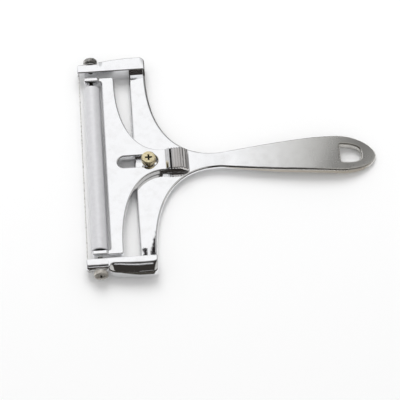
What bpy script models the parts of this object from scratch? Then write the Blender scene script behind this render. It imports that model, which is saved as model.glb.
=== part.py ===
"""Adjustable wire cheese planer with a roller, built as its separate pieces.

A cast frame, one piece with its handle, carries a taut cutting wire between two arms. A cast
carriage slides on the frame's web and holds a roller on an axle, so that sliding it sets the
gap between roller and wire, and so the thickness of a slice. A brass screw locks it.

Sizes are in metres. The casting's own frame has its origin on the lock screw's axis at the
top of the web, +X towards the handle's end, +Y to the right of whoever holds it, and +Z up.
An empty pitches and lifts that frame, so that the planer stands on its roller and on the tip
of its handle with +Z up in the world.
"""

import math

import bmesh
import bpy
from mathutils import Euler, Matrix, Vector

# Clearances
SEAT_GAP = 0.00025
OVERRUN = 0.0012

# Web and yoke of the frame
WEB_THICKNESS = 0.0029
WEB_FRONT_X = -0.0080
WEB_RIM_RADIUS = 0.0009
YOKE_REAR_X = 0.0012
YOKE_POWER = 2.5
LEG_OVERLAP = 0.0024
LEG_WEDGE_WIDTH = 0.0040
LEG_WEDGE_HEIGHT = 0.0004

# Handle
HANDLE_ROOT_X = 0.0387
HANDLE_ROOT_HALF_WIDTH = 0.0047
HANDLE_WIDEST_X = 0.1036
HANDLE_HALF_WIDTH = 0.0112
HANDLE_END_X = 0.1243
HANDLE_THICKNESS = 0.0042
HANDLE_TOP_CROWN = 0.0004
HANDLE_UNDER_CROWN = 0.0008
HANDLE_STRAIGHT_SHARE = 0.35
NOSE_POWER = 1.9
DROOP = 0.0070
DROOP_START_X = 0.0800
DROOP_POWER = 2.3
HANG_HOLE_FRONT_X = 0.1043
HANG_HOLE_END_X = 0.1156
HANG_HOLE_HALF_WIDTH = 0.0053
HANG_HOLE_POWER = 3.0
HANG_HOLE_CORNER_RADIUS = 0.0008

# Arms of the frame
ARM_SIDE_CLEARANCE = 0.00245
ARM_WIDTH = 0.0091
ARM_FRONT_X = -0.0361
ARM_REAR_X = 0.0013
ARM_TOP_Z = 0.0060
ARM_UNDERSIDE_Z = -0.0030
ARM_INNER_RIM_RADIUS = 0.0007
ARM_CROWN_DROP = 0.0013
TIP_CROWN_DROP = 0.0004
ARM_SHOULDER_RADIUS = 0.0010
ARM_KEEL_RADIUS = 0.0024
ARM_END_RADIUS = 0.0030
ARM_END_RIM_RADIUS = 0.0007
ARM_TIP_END_RADIUS = 0.0014
TIP_WIDTH_SHARE = 0.6374
TIP_UNDERSIDE_Z = -0.0002
TIP_REAR_X = -0.0246
TIP_STEP_LENGTH = 0.0032
ARM_SWELL_LENGTH = 0.0160
ARM_SWELL_POWER = 0.3

# Cutting wire and its screws
WIRE_RADIUS = 0.0003
WIRE_Z = 0.0030
WIRE_BEND_RADIUS = 0.0010
WIRE_EYE_ANGLE = math.radians(290)
WIRE_BEVEL_RESOLUTION = 2
NOTCH_DEPTH = 0.0013
WIRE_SCREW_X = -0.0287
WIRE_SCREW_SHANK_RADIUS = 0.0018
WIRE_SCREW_LENGTH = 0.0050
WIRE_SCREW_HEAD_RADIUS = 0.00375
WIRE_SCREW_HEAD_HEIGHT = 0.0026
WIRE_SCREW_RECESS_LENGTH = 0.0040

# Boss and lock screw
BOSS_RADIUS = 0.0031
LOCK_SHANK_RADIUS = 0.0019
LOCK_HEAD_RADIUS = 0.0039
LOCK_HEAD_HEIGHT = 0.0026
LOCK_RECESS_LENGTH = 0.0038
LOCK_SCREW_END_Z = -0.0025
WASHER_RADIUS = 0.0039
WASHER_THICKNESS = 0.0004

# Features that every screw head has
HEAD_RIM_SHARE = 0.28
RECESS_WIDTH_SHARE = 0.26
RECESS_DEPTH_SHARE = 0.62
RECESS_TAPER_SHARE = 0.55

# Carriage
CARRIAGE_THICKNESS = 0.0037
CARRIAGE_TOP_RIM_RADIUS = 0.0007
CARRIAGE_UNDER_RIM_RADIUS = 0.0004
BAR_FRONT_X = -0.0232
BAR_REAR_X = -0.0160
BAR_CORNER_RADIUS = 0.0018
EAR_FRONT_X = -0.0328
EAR_THICKNESS = 0.0031
EAR_DEPTH = 0.0056
EAR_RISE = 0.0010
EAR_RAMP_LENGTH = 0.0012
EAR_CORNER_RADIUS = 0.0009
STEM_CURVE_X = 0.0085
STEM_HALF_WIDTH = 0.0066
STEM_POWER = 2.3
STEM_END_X = 0.0217
STEM_CORNER_RADIUS = 0.0012
SLOT_HALF_WIDTH = BOSS_RADIUS + SEAT_GAP
SLIDE_FORWARD = 0.0013
SLIDE_BACK = 0.0132
NECK_RISE_X = 0.0088
GRIP_FRONT_X = 0.0118
GRIP_GROOVE_DEPTH = 0.0005
GRIP_TOP_Z = 0.0055
GRIP_FALL_X = 0.0165
GRIP_END_Z = 0.0014
RIB_PITCH = 0.0014
RIB_DEPTH = 0.0005
RIB_COUNT = 6

# Roller
ROLLER_X = -0.0288
ROLLER_Z = 0.0015
ROLLER_RADIUS = 0.0045
ROLLER_WALL = 0.0010
ROLLER_LENGTH = 0.1004
ROLLER_RIM = 0.0003
ROLLER_SHIFT_Y = -0.0014
ROLLER_SIDE_CLEARANCE = 0.00175
AXLE_RADIUS = 0.0010
BUSH_DEPTH = 0.0060
BUSH_INSET = 0.0004

# How finely curves are divided
RIM_STEPS = 3
CORNER_STEPS = 4
CURVE_STEPS = 14
NOSE_STEPS = 9
HOLE_STEPS = 6
ROLLER_SIDES = 40
SCREW_SIDES = 28
WIRE_STEP_ANGLE = math.radians(18)
HANDLE_SLICES = 16
PITCH_SAMPLES = 60
CROWN_SLICE_SHARES = (-0.66, -0.33, 0.0, 0.33, 0.66)
ARM_CROWN_STEPS = 4
SWELL_SLICE_SHARES = (0.0, 0.01, 0.04, 0.08, 0.13, 0.2, 0.4, 0.7, 1.0)
NECK_SLICE_SHARES = (0.0, 0.25, 0.5, 0.75, 1.0)
GROOVE_SLICE_SHARES = (0.125, 0.25, 0.375)
RIB_SLICE_SHARES = (0.0, 0.25, 0.5, 0.75)
RAMP_SLICE_SHARES = (0.0, 0.5, 1.0)
SHARP_ANGLE = math.radians(35)
PLANAR_ANGLE = math.radians(0.1)
SLICE_TOLERANCE = 0.000002

# Levels and places that follow
CARRIAGE_UNDERSIDE_Z = SEAT_GAP
CARRIAGE_TOP_Z = CARRIAGE_UNDERSIDE_Z + CARRIAGE_THICKNESS
ROLLER_HALF_LENGTH = ROLLER_LENGTH / 2
EAR_INNER_Y = ROLLER_HALF_LENGTH + ROLLER_SIDE_CLEARANCE
EAR_OUTER_Y = EAR_INNER_Y + EAR_THICKNESS
EAR_REAR_X = BAR_FRONT_X - EAR_CORNER_RADIUS
ARM_INNER_Y = EAR_OUTER_Y + ARM_SIDE_CLEARANCE
TIP_WIDTH = ARM_WIDTH * TIP_WIDTH_SHARE
WASHER_UNDERSIDE_Z = CARRIAGE_TOP_Z + SEAT_GAP
LOCK_HEAD_UNDERSIDE_Z = WASHER_UNDERSIDE_Z + WASHER_THICKNESS + SEAT_GAP
BOSS_TOP_Z = CARRIAGE_TOP_Z - SEAT_GAP
TIP_OUTER_Y = ARM_INNER_Y + TIP_WIDTH
WIRE_EYE_Y = TIP_OUTER_Y + SEAT_GAP + WIRE_RADIUS
WIRE_SCREW_HEAD_Y = WIRE_EYE_Y + WIRE_RADIUS + SEAT_GAP
WIRE_X = ARM_FRONT_X + NOTCH_DEPTH - SEAT_GAP - WIRE_RADIUS
WIRE_EYE_RADIUS = WIRE_SCREW_SHANK_RADIUS + SEAT_GAP + WIRE_RADIUS
SLOT_FRONT_X = -BOSS_RADIUS - SEAT_GAP - SLIDE_BACK
SLOT_REAR_X = BOSS_RADIUS + SEAT_GAP + SLIDE_FORWARD
LEFT = -1
RIGHT = 1


# Small helpers for numbers and outlines

def clamp(share):
    return min(1.0, max(0.0, share))


def smooth(share):
    share = clamp(share)
    return share * share * (3.0 - 2.0 * share)


def between(low, high, share):
    return low + (high - low) * share


def spread(low, high, count):
    """Evenly spaced values from low to high, both included."""
    return [between(low, high, i / (count - 1)) for i in range(count)]


def quarter(centre, reach, power, steps):
    """Quarter of a superellipse, from straight above its centre to straight beside it."""
    angles = spread(0.0, math.pi / 2, steps)
    return [Vector((centre[0] + reach[0] * clamp(math.sin(a)) ** (2.0 / power),
                    centre[1] + reach[1] * clamp(math.cos(a)) ** (2.0 / power)))
            for a in angles]


def filleted(corners):
    """Outline through (x, y, radius) corners, each rounded by an arc of its radius."""
    points = []
    for i, (x, y, radius) in enumerate(corners):
        corner = Vector((x, y))
        if not radius:
            points.append(corner)
            continue
        before = (Vector(corners[i - 1][:2]) - corner).normalized()
        after = (Vector(corners[(i + 1) % len(corners)][:2]) - corner).normalized()
        half = before.angle(after) / 2
        centre = corner + (before + after).normalized() * radius / math.sin(half)
        start = corner + before * radius / math.tan(half) - centre
        end = corner + after * radius / math.tan(half) - centre
        turn = start.angle_signed(end)
        for share in spread(0.0, 1.0, CORNER_STEPS + 1):
            arm = start.copy()
            arm.rotate(Matrix.Rotation(-turn * share, 2))
            points.append(centre + arm)
    return points


def mirrored(points):
    """The same outline points on the other side of the X axis, in reverse order."""
    return [Vector((p.x, -p.y)) for p in reversed(points)]


def without_repeats(points):
    kept = []
    for point in points:
        if not kept or (point - kept[-1]).length > SLICE_TOLERANCE:
            kept.append(point)
    if (kept[0] - kept[-1]).length <= SLICE_TOLERANCE:
        kept.pop()
    return kept


def inset(outline, distance):
    """The outline moved to its left by a distance, with mitred corners."""
    moved = []
    for i, point in enumerate(outline):
        arriving = (point - outline[i - 1]).normalized()
        leaving = (outline[(i + 1) % len(outline)] - point).normalized()
        normal = Vector((-arriving.y - leaving.y, arriving.x + leaving.x)).normalized()
        lean = normal.dot(Vector((-leaving.y, leaving.x)))
        moved.append(point + normal * distance / lean)
    return moved


# Solids

def bridge(bm, lower, upper):
    """Faces between two rings, either of which may be a single point."""
    count = max(len(lower), len(upper))
    for i in range(count):
        j = (i + 1) % count
        corners = [lower[i % len(lower)], lower[j % len(lower)],
                   upper[j % len(upper)], upper[i % len(upper)]]
        bm.faces.new(list(dict.fromkeys(corners)))


def rim_rings(outline, low, high, low_radius, high_radius):
    """Rings up the wall of a plate whose lower and upper rims are rounded."""
    angles = spread(0.0, math.pi / 2, RIM_STEPS + 1)
    rings = []
    for a in reversed(angles):
        rings.append((low_radius * (1.0 - math.cos(a)), low + low_radius * (1.0 - math.sin(a))))
    for a in angles:
        rings.append((high_radius * (1.0 - math.cos(a)), high - high_radius * (1.0 - math.sin(a))))
    return [[Vector((p.x, p.y, height)) for p in inset(outline, depth)]
            for depth, height in rings]


def rounded_plate(outline, holes, low, high, low_radius, high_radius):
    """Plate in XY. The outline runs counter-clockwise and the holes clockwise."""
    bm = bmesh.new()
    faces_to_fill = ([], [])
    for loop in [outline, *holes]:
        rings = [[bm.verts.new(point) for point in ring]
                 for ring in rim_rings(loop, low, high, low_radius, high_radius)]
        for lower, upper in zip(rings, rings[1:]):
            bridge(bm, lower, upper)
        for edges, ring in zip(faces_to_fill, (rings[0], rings[-1])):
            edges += [bm.edges.get((ring[i - 1], ring[i])) for i in range(len(ring))]
    for edges in faces_to_fill:
        made = bmesh.ops.triangle_fill(bm, use_beauty=True, edges=edges)["geom"]
        inner = [g for g in made if isinstance(g, bmesh.types.BMEdge) and g not in edges]
        bmesh.ops.dissolve_limit(bm, angle_limit=PLANAR_ANGLE, edges=inner)
    return bm


def slice_at(bm, positions, axis):
    """Adds a line of vertices wherever a plane across the axis cuts the mesh."""
    normal = Vector((axis == "X", axis == "Y", axis == "Z"))
    for position in positions:
        everything = bm.verts[:] + bm.edges[:] + bm.faces[:]
        bmesh.ops.bisect_plane(bm, geom=everything, dist=SLICE_TOLERANCE,
                               plane_co=normal * position, plane_no=normal)


def reshape(bm, rule):
    for vertex in bm.verts:
        vertex.co = rule(vertex.co)


def turned(profile, sides, closed=False):
    """Solid of (radius, height) points turned about Z, open ends lying on the axis."""
    bm = bmesh.new()
    rings = []
    for radius, height in profile:
        if radius:
            rings.append([bm.verts.new((radius * math.cos(a), radius * math.sin(a), height))
                          for a in (2 * math.pi * i / sides for i in range(sides))])
        else:
            rings.append([bm.verts.new((0.0, 0.0, height))])
    pairs = zip(rings, rings[1:] + rings[:1]) if closed else zip(rings, rings[1:])
    for lower, upper in pairs:
        bridge(bm, lower, upper)
    return bm


def cylinder(radius, low, high, sides):
    return turned([(0.0, low), (radius, low), (radius, high), (0.0, high)], sides)


def prism(outline, low, high):
    bm = bmesh.new()
    lower, upper = ([bm.verts.new((p.x, p.y, height)) for p in outline]
                    for height in (low, high))
    bridge(bm, lower, upper)
    bm.faces.new(reversed(lower))
    bm.faces.new(upper)
    return bm


# Objects

def make_material(name, colour, roughness, metallic):
    material = bpy.data.materials.new(name)
    material.use_nodes = True
    shader = material.node_tree.nodes["Principled BSDF"]
    shader.inputs["Base Color"].default_value = (*colour, 1.0)
    shader.inputs["Roughness"].default_value = roughness
    shader.inputs["Metallic"].default_value = metallic
    return material


def place(thing, frame, location, rotation):
    bpy.context.scene.collection.objects.link(thing)
    thing.parent = frame
    thing.location = location
    thing.rotation_euler = rotation
    return thing


def add_solid(name, bm, material, frame, location=(0.0, 0.0, 0.0), rotation=(0.0, 0.0, 0.0)):
    bmesh.ops.recalc_face_normals(bm, faces=bm.faces)
    mesh = bpy.data.meshes.new(name)
    bm.to_mesh(mesh)
    bm.free()
    mesh.shade_smooth()
    mesh.set_sharp_from_angle(angle=SHARP_ANGLE)
    mesh.materials.append(material)
    return place(bpy.data.objects.new(name, mesh), frame, location, rotation)


def combine(target, operation, name, bm, location=(0.0, 0.0, 0.0), rotation=(0.0, 0.0, 0.0)):
    """Joins a shape to the target or cuts it away, with the shape kept as a hidden guide."""
    guide = add_solid(name, bm, target.data.materials[0], target.parent, location, rotation)
    guide.hide_render = True
    guide.display_type = "WIRE"
    modifier = target.modifiers.new(name, "BOOLEAN")
    modifier.operation = operation
    modifier.solver = "EXACT"
    modifier.object = guide


# Frame casting

def handle_half_width(x):
    share = clamp((x - HANDLE_ROOT_X) / (HANDLE_WIDEST_X - HANDLE_ROOT_X))
    swell = (HANDLE_STRAIGHT_SHARE * share
             + (1.0 - HANDLE_STRAIGHT_SHARE) * math.sin(share * math.pi / 2))
    return between(HANDLE_ROOT_HALF_WIDTH, HANDLE_HALF_WIDTH, swell)


def frame_outline():
    """Web, legs and handle seen from above, counter-clockwise from the handle's tip."""
    nose = quarter((HANDLE_WIDEST_X, 0.0), (HANDLE_END_X - HANDLE_WIDEST_X, HANDLE_HALF_WIDTH),
                   NOSE_POWER, NOSE_STEPS)
    sides = [Vector((x, handle_half_width(x)))
             for x in spread(HANDLE_WIDEST_X, HANDLE_ROOT_X, CURVE_STEPS)]
    leg_end = ARM_INNER_Y + LEG_OVERLAP
    yoke = quarter((HANDLE_ROOT_X, leg_end),
                   (YOKE_REAR_X - HANDLE_ROOT_X, HANDLE_ROOT_HALF_WIDTH - leg_end),
                   YOKE_POWER, CURVE_STEPS)
    half = [*reversed(nose), *sides, *yoke, Vector((WEB_FRONT_X, leg_end))]
    return without_repeats(half + mirrored(half))


def hang_hole():
    """Rounded bullet shape, straight towards the head, clockwise."""
    reach = (HANG_HOLE_END_X - HANG_HOLE_FRONT_X, HANG_HOLE_HALF_WIDTH)
    side = quarter((HANG_HOLE_FRONT_X, 0.0), reach, HANG_HOLE_POWER, HOLE_STEPS + 2)[1:]
    corner = (HANG_HOLE_FRONT_X, HANG_HOLE_HALF_WIDTH, HANG_HOLE_CORNER_RADIUS)
    corners = [corner, *((p.x, p.y, 0.0) for p in side)]
    mirror = [(x, -y, radius) for x, y, radius in reversed(corners[:-1])]
    return filleted(corners + mirror)


def handle_droop(x):
    share = clamp((x - DROOP_START_X) / (HANDLE_END_X - DROOP_START_X))
    return DROOP * share ** DROOP_POWER


def handle_nose_share(x):
    """How much of its thickness the handle keeps towards its rounded tip."""
    share = clamp((x - HANDLE_WIDEST_X) / (HANDLE_END_X - HANDLE_WIDEST_X))
    return math.sqrt(between(1.0, HANDLE_STRAIGHT_SHARE ** 2, share ** 2))


def handle_underside(x, y_share):
    """Height of the handle's underside, y_share being the place across its half width."""
    grown = smooth((x - HANDLE_ROOT_X) / (DROOP_START_X - HANDLE_ROOT_X))
    thickness = between(WEB_THICKNESS, HANDLE_THICKNESS, grown) * handle_nose_share(x)
    crown = HANDLE_UNDER_CROWN * grown * handle_nose_share(x) * (1.0 - clamp(y_share ** 2))
    return -handle_droop(x) - thickness - crown


def handle_rule(point):
    """Moves a vertex of the flat plate onto the drooping, crowned handle."""
    if point.x <= HANDLE_ROOT_X:
        return point
    depth_share = -point.z / WEB_THICKNESS
    y_share = point.y / handle_half_width(point.x)
    grown = smooth((point.x - HANDLE_ROOT_X) / (DROOP_START_X - HANDLE_ROOT_X))
    crown = HANDLE_TOP_CROWN * grown * handle_nose_share(point.x) * (1.0 - clamp(y_share ** 2))
    top = crown - handle_droop(point.x)
    return Vector((point.x, point.y,
                   between(top, handle_underside(point.x, y_share), depth_share)))


def arm_section(x):
    """An arm's sides at x for the right arm: inner and outer y, low and high z, crown's drop."""
    swell = clamp((x - TIP_REAR_X) / ARM_SWELL_LENGTH) ** ARM_SWELL_POWER
    outer = ARM_INNER_Y + between(TIP_WIDTH, ARM_WIDTH, swell)
    step = smooth((x - TIP_REAR_X) / TIP_STEP_LENGTH)
    low = between(TIP_UNDERSIDE_Z, ARM_UNDERSIDE_Z, step)
    return ARM_INNER_Y, outer, low, ARM_TOP_Z, between(TIP_CROWN_DROP, ARM_CROWN_DROP, step)


def end_round(distance, radius):
    """How far a rounded end has drawn in at a distance from its tip."""
    left = max(radius - distance, 0.0)
    return radius - math.sqrt(radius ** 2 - left ** 2)


def arm_ring(x):
    """Outline of an arm's section at x as (y, z), its top falling away towards the outside."""
    inner, outer, low, high, drop = arm_section(x)
    from_tip, from_rear = x - ARM_FRONT_X, ARM_REAR_X - x
    outer -= end_round(from_tip, ARM_TIP_END_RADIUS) + end_round(from_rear, ARM_END_RADIUS)
    rim_inset = end_round(from_tip, ARM_END_RIM_RADIUS) + end_round(from_rear, ARM_END_RIM_RADIUS)
    low, high = low + rim_inset, high - rim_inset
    rim, shoulder, keel = ARM_INNER_RIM_RADIUS, ARM_SHOULDER_RADIUS, ARM_KEEL_RADIUS
    crown_start = inner + rim
    slope = math.atan(2.0 * drop / (outer - shoulder - crown_start))
    crown_end = outer - shoulder * (1.0 - math.sin(slope))
    ring = [(outer - shoulder * (1.0 - math.cos(a)),
             high - drop - shoulder * (math.cos(slope) - math.sin(a)))
            for a in spread(0.0, math.pi / 2 - slope, CORNER_STEPS + 1)]
    ring += [(between(crown_start, crown_end, share), high - drop * share ** 2)
             for share in spread(1.0, 0.0, ARM_CROWN_STEPS + 1)[1:-1]]
    corners = [(crown_start, high - rim, rim), (crown_start, low + rim, rim),
               (outer - keel, low + keel, keel)]
    for quadrant, (y, z, radius) in enumerate(corners, start=1):
        for a in spread(quadrant * math.pi / 2, (quadrant + 1) * math.pi / 2, CORNER_STEPS + 1):
            ring.append((y + radius * math.cos(a), z + radius * math.sin(a)))
    return ring


def arm_stations():
    """Places along an arm where its section is drawn, closer together where it curves."""
    near_ends = [1.0 - math.cos(a) for a in spread(0.0, math.pi / 2, CORNER_STEPS + 1)]
    stations = {TIP_REAR_X + share * ARM_SWELL_LENGTH for share in SWELL_SLICE_SHARES}
    for share in near_ends:
        stations.add(ARM_FRONT_X + ARM_TIP_END_RADIUS * share)
        stations.add(ARM_FRONT_X + ARM_END_RIM_RADIUS * share)
        stations.add(ARM_REAR_X - ARM_END_RADIUS * share)
        stations.add(ARM_REAR_X - ARM_END_RIM_RADIUS * share)
    return sorted(stations)


def arm(side):
    """Arm with a narrow tip for the wire screw, swelling outwards behind it."""
    bm = bmesh.new()
    rings = [[bm.verts.new((x, side * y, z)) for y, z in arm_ring(x)] for x in arm_stations()]
    for first, second in zip(rings, rings[1:]):
        bridge(bm, first, second)
    bm.faces.new(reversed(rings[0]))
    bm.faces.new(rings[-1])
    bmesh.ops.triangulate(bm, faces=[f for f in bm.faces if len(f.verts) == 4])
    return bm


def leg_wedge(side):
    """Shallow slope by which the top of a leg rises to the inner face of its arm."""
    buried = LEG_OVERLAP / 2
    section = [Vector((ARM_INNER_Y - LEG_WEDGE_WIDTH, 0.0)),
               Vector((ARM_INNER_Y, LEG_WEDGE_HEIGHT)),
               Vector((ARM_INNER_Y + buried, LEG_WEDGE_HEIGHT)),
               Vector((ARM_INNER_Y + buried, -buried)),
               Vector((ARM_INNER_Y - LEG_WEDGE_WIDTH, -buried))]
    bm = prism(section, WEB_FRONT_X + WEB_RIM_RADIUS, YOKE_REAR_X - WEB_RIM_RADIUS)
    reshape(bm, lambda point: Vector((point.z, side * point.x, point.y)))
    return bm


def frame_casting(frame, material):
    """Web, legs, arms, boss and handle, cast in one piece."""
    bm = rounded_plate(frame_outline(), [hang_hole()], -WEB_THICKNESS, 0.0,
                       WEB_RIM_RADIUS, WEB_RIM_RADIUS)
    slice_at(bm, spread(HANDLE_ROOT_X, HANDLE_END_X, HANDLE_SLICES)[:-1], "X")
    slice_at(bm, [HANDLE_HALF_WIDTH * share for share in CROWN_SLICE_SHARES], "Y")
    reshape(bm, handle_rule)
    casting = add_solid("frame_with_handle", bm, material, frame)
    for side, word in ((RIGHT, "right"), (LEFT, "left")):
        combine(casting, "UNION", f"arm_{word}", arm(side))
        combine(casting, "UNION", f"leg_wedge_{word}", leg_wedge(side))
    combine(casting, "UNION", "boss",
            cylinder(BOSS_RADIUS, -WEB_THICKNESS / 2, BOSS_TOP_Z, SCREW_SIDES))
    combine(casting, "DIFFERENCE", "lock_screw_hole",
            cylinder(LOCK_SHANK_RADIUS + SEAT_GAP, -WEB_THICKNESS - OVERRUN,
                     BOSS_TOP_Z + OVERRUN, SCREW_SIDES))
    hole_depth = WIRE_SCREW_LENGTH - (WIRE_SCREW_HEAD_Y - TIP_OUTER_Y) + SEAT_GAP
    for side, word in ((RIGHT, "right"), (LEFT, "left")):
        combine(casting, "DIFFERENCE", f"wire_screw_hole_{word}",
                cylinder(WIRE_SCREW_SHANK_RADIUS + SEAT_GAP, -hole_depth, OVERRUN, SCREW_SIDES),
                (WIRE_SCREW_X, side * TIP_OUTER_Y, WIRE_Z), (-side * math.pi / 2, 0.0, 0.0))
    reach = TIP_OUTER_Y + OVERRUN
    height = WIRE_RADIUS + SEAT_GAP
    notch = [Vector((ARM_FRONT_X - OVERRUN, -reach)), Vector((ARM_FRONT_X + NOTCH_DEPTH, -reach)),
             Vector((ARM_FRONT_X + NOTCH_DEPTH, reach)), Vector((ARM_FRONT_X - OVERRUN, reach))]
    combine(casting, "DIFFERENCE", "wire_notches", prism(notch, WIRE_Z - height, WIRE_Z + height))
    return casting


# Carriage

def carriage_outline():
    """T shape with an ear at each end, seen from above, counter-clockwise from the grip."""
    curve = quarter((STEM_CURVE_X, EAR_INNER_Y),
                    (BAR_REAR_X - STEM_CURVE_X, STEM_HALF_WIDTH - EAR_INNER_Y),
                    STEM_POWER, CURVE_STEPS)
    half = [(STEM_END_X, STEM_HALF_WIDTH, STEM_CORNER_RADIUS),
            *((p.x, p.y, 0.0) for p in curve[:-1]),
            (BAR_REAR_X, EAR_OUTER_Y, BAR_CORNER_RADIUS),
            (EAR_FRONT_X, EAR_OUTER_Y, EAR_CORNER_RADIUS),
            (EAR_FRONT_X, EAR_INNER_Y, EAR_CORNER_RADIUS),
            (BAR_FRONT_X, EAR_INNER_Y, EAR_CORNER_RADIUS)]
    other = [(x, -y, radius) for x, y, radius in reversed(half)]
    return filleted(half + other)


def slot_outline():
    """Long hole for the boss, with round ends, clockwise."""
    corners = [(SLOT_FRONT_X, SLOT_HALF_WIDTH), (SLOT_REAR_X, SLOT_HALF_WIDTH),
               (SLOT_REAR_X, -SLOT_HALF_WIDTH), (SLOT_FRONT_X, -SLOT_HALF_WIDTH)]
    points = []
    for (x, y), start in zip(corners, (math.pi, math.pi / 2, 0.0, -math.pi / 2)):
        inward = SLOT_HALF_WIDTH if x == SLOT_FRONT_X else -SLOT_HALF_WIDTH
        for a in spread(start, start - math.pi / 2, HOLE_STEPS + 1)[:-1]:
            points.append(Vector((x + inward + SLOT_HALF_WIDTH * math.cos(a),
                                  SLOT_HALF_WIDTH * math.sin(a))))
    return points


def carriage_top(x):
    """Height of the carriage's top along its stem: flat, a rise, a groove and falling ribs."""
    rise = smooth((x - NECK_RISE_X) / (GRIP_FRONT_X - RIB_PITCH / 2 - NECK_RISE_X))
    height = between(CARRIAGE_TOP_Z, GRIP_TOP_Z, rise)
    fall = clamp((x - GRIP_FALL_X) / (STEM_END_X - GRIP_FALL_X))
    height -= (GRIP_TOP_Z - GRIP_END_Z) * fall ** 2
    rib_share = (x - GRIP_FRONT_X) / RIB_PITCH
    if -1 / 2 <= rib_share <= RIB_COUNT:
        depth = RIB_DEPTH + GRIP_GROOVE_DEPTH * (rib_share < 1 / 2)
        height -= depth * (1.0 + math.cos(2 * math.pi * rib_share)) / 2
    return height


def carriage_rule(point):
    """Deepens the ears and raises the neck and the ribbed grip of the flat plate."""
    above = point.z - CARRIAGE_UNDERSIDE_Z
    if point.x < EAR_REAR_X:
        ramp = smooth((EAR_REAR_X - point.x) / EAR_RAMP_LENGTH)
        low = CARRIAGE_TOP_Z - between(CARRIAGE_THICKNESS, EAR_DEPTH, ramp)
        high = CARRIAGE_TOP_Z + EAR_RISE * ramp
        height = between(low, high, above / CARRIAGE_THICKNESS)
    else:
        grown = (carriage_top(point.x) - CARRIAGE_UNDERSIDE_Z) / CARRIAGE_THICKNESS
        height = CARRIAGE_UNDERSIDE_Z + above * grown
    return Vector((point.x, point.y, height))


def carriage(frame, material):
    """Sliding casting with the slot, two ears for the axle and a ribbed thumb grip."""
    bm = rounded_plate(carriage_outline(), [slot_outline()], CARRIAGE_UNDERSIDE_Z,
                       CARRIAGE_TOP_Z, CARRIAGE_UNDER_RIM_RADIUS, CARRIAGE_TOP_RIM_RADIUS)
    ramp = [EAR_REAR_X - EAR_RAMP_LENGTH * share for share in RAMP_SLICE_SHARES]
    ribs = [GRIP_FRONT_X + RIB_PITCH * (rib + share)
            for rib in range(RIB_COUNT) for share in RIB_SLICE_SHARES]
    groove = [GRIP_FRONT_X - RIB_PITCH * share for share in GROOVE_SLICE_SHARES]
    neck = [between(NECK_RISE_X, GRIP_FRONT_X - RIB_PITCH / 2, share)
            for share in NECK_SLICE_SHARES]
    slice_at(bm, [*ramp, *neck, *groove, *ribs, GRIP_FRONT_X + RIB_PITCH * RIB_COUNT], "X")
    reshape(bm, carriage_rule)
    casting = add_solid("roller_carriage", bm, material, frame)
    reach = EAR_OUTER_Y + OVERRUN
    combine(casting, "DIFFERENCE", "axle_holes",
            cylinder(AXLE_RADIUS + SEAT_GAP, -reach, reach, SCREW_SIDES),
            (ROLLER_X, 0.0, ROLLER_Z), (math.pi / 2, 0.0, 0.0))
    return casting


# Roller

def roller(frame, tube_material, bush_material, axle_material):
    """Tube on two bushes that turn on an axle held in the carriage's ears."""
    inner = ROLLER_RADIUS - ROLLER_WALL
    rim, half = ROLLER_RIM, ROLLER_HALF_LENGTH
    tube = [(ROLLER_RADIUS - rim, -half), (ROLLER_RADIUS, rim - half),
            (ROLLER_RADIUS, half - rim), (ROLLER_RADIUS - rim, half), (inner, half), (inner, -half)]
    centre = (ROLLER_X, ROLLER_SHIFT_Y, ROLLER_Z)
    lying = (math.pi / 2, 0.0, 0.0)
    add_solid("roller_tube", turned(tube, ROLLER_SIDES, closed=True), tube_material, frame,
              centre, lying)
    end = EAR_OUTER_Y - SEAT_GAP
    axle = [(0.0, -end), (AXLE_RADIUS - rim, -end), (AXLE_RADIUS, rim - end),
            (AXLE_RADIUS, end - rim), (AXLE_RADIUS - rim, end), (0.0, end)]
    add_solid("roller_axle", turned(axle, SCREW_SIDES), axle_material, frame,
              (ROLLER_X, 0.0, ROLLER_Z), lying)
    bore, outer = AXLE_RADIUS + SEAT_GAP, inner - SEAT_GAP
    face = half - BUSH_INSET
    bush = [(bore, half - BUSH_DEPTH), (outer, half - BUSH_DEPTH), (outer, face - rim),
            (outer - rim, face), (bore, face)]
    for side, word in ((RIGHT, "right"), (LEFT, "left")):
        add_solid(f"roller_bush_{word}", turned(bush, SCREW_SIDES, closed=True), bush_material,
                  frame, centre, (-side * math.pi / 2, 0.0, 0.0))


# Screws, washer and wire

def cross_recess(length, depth):
    """Tapering cross that a screwdriver fits, its mouth at height zero and above."""
    arm_length, width = length / 2, length * RECESS_WIDTH_SHARE / 2
    plan = []
    for quadrant in range(4):
        turn = Matrix.Rotation(quadrant * math.pi / 2, 2)
        for corner in ((arm_length, -width), (arm_length, width), (width, width)):
            plan.append(turn @ Vector(corner))
    bm = bmesh.new()
    rings = [[bm.verts.new((p.x * share, p.y * share, height)) for p in plan]
             for share, height in ((RECESS_TAPER_SHARE, -depth), (1.0, 0.0), (1.0, OVERRUN))]
    for lower, upper in zip(rings, rings[1:]):
        bridge(bm, lower, upper)
    bm.faces.new(reversed(rings[0]))
    bm.faces.new(rings[-1])
    return bm


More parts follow.
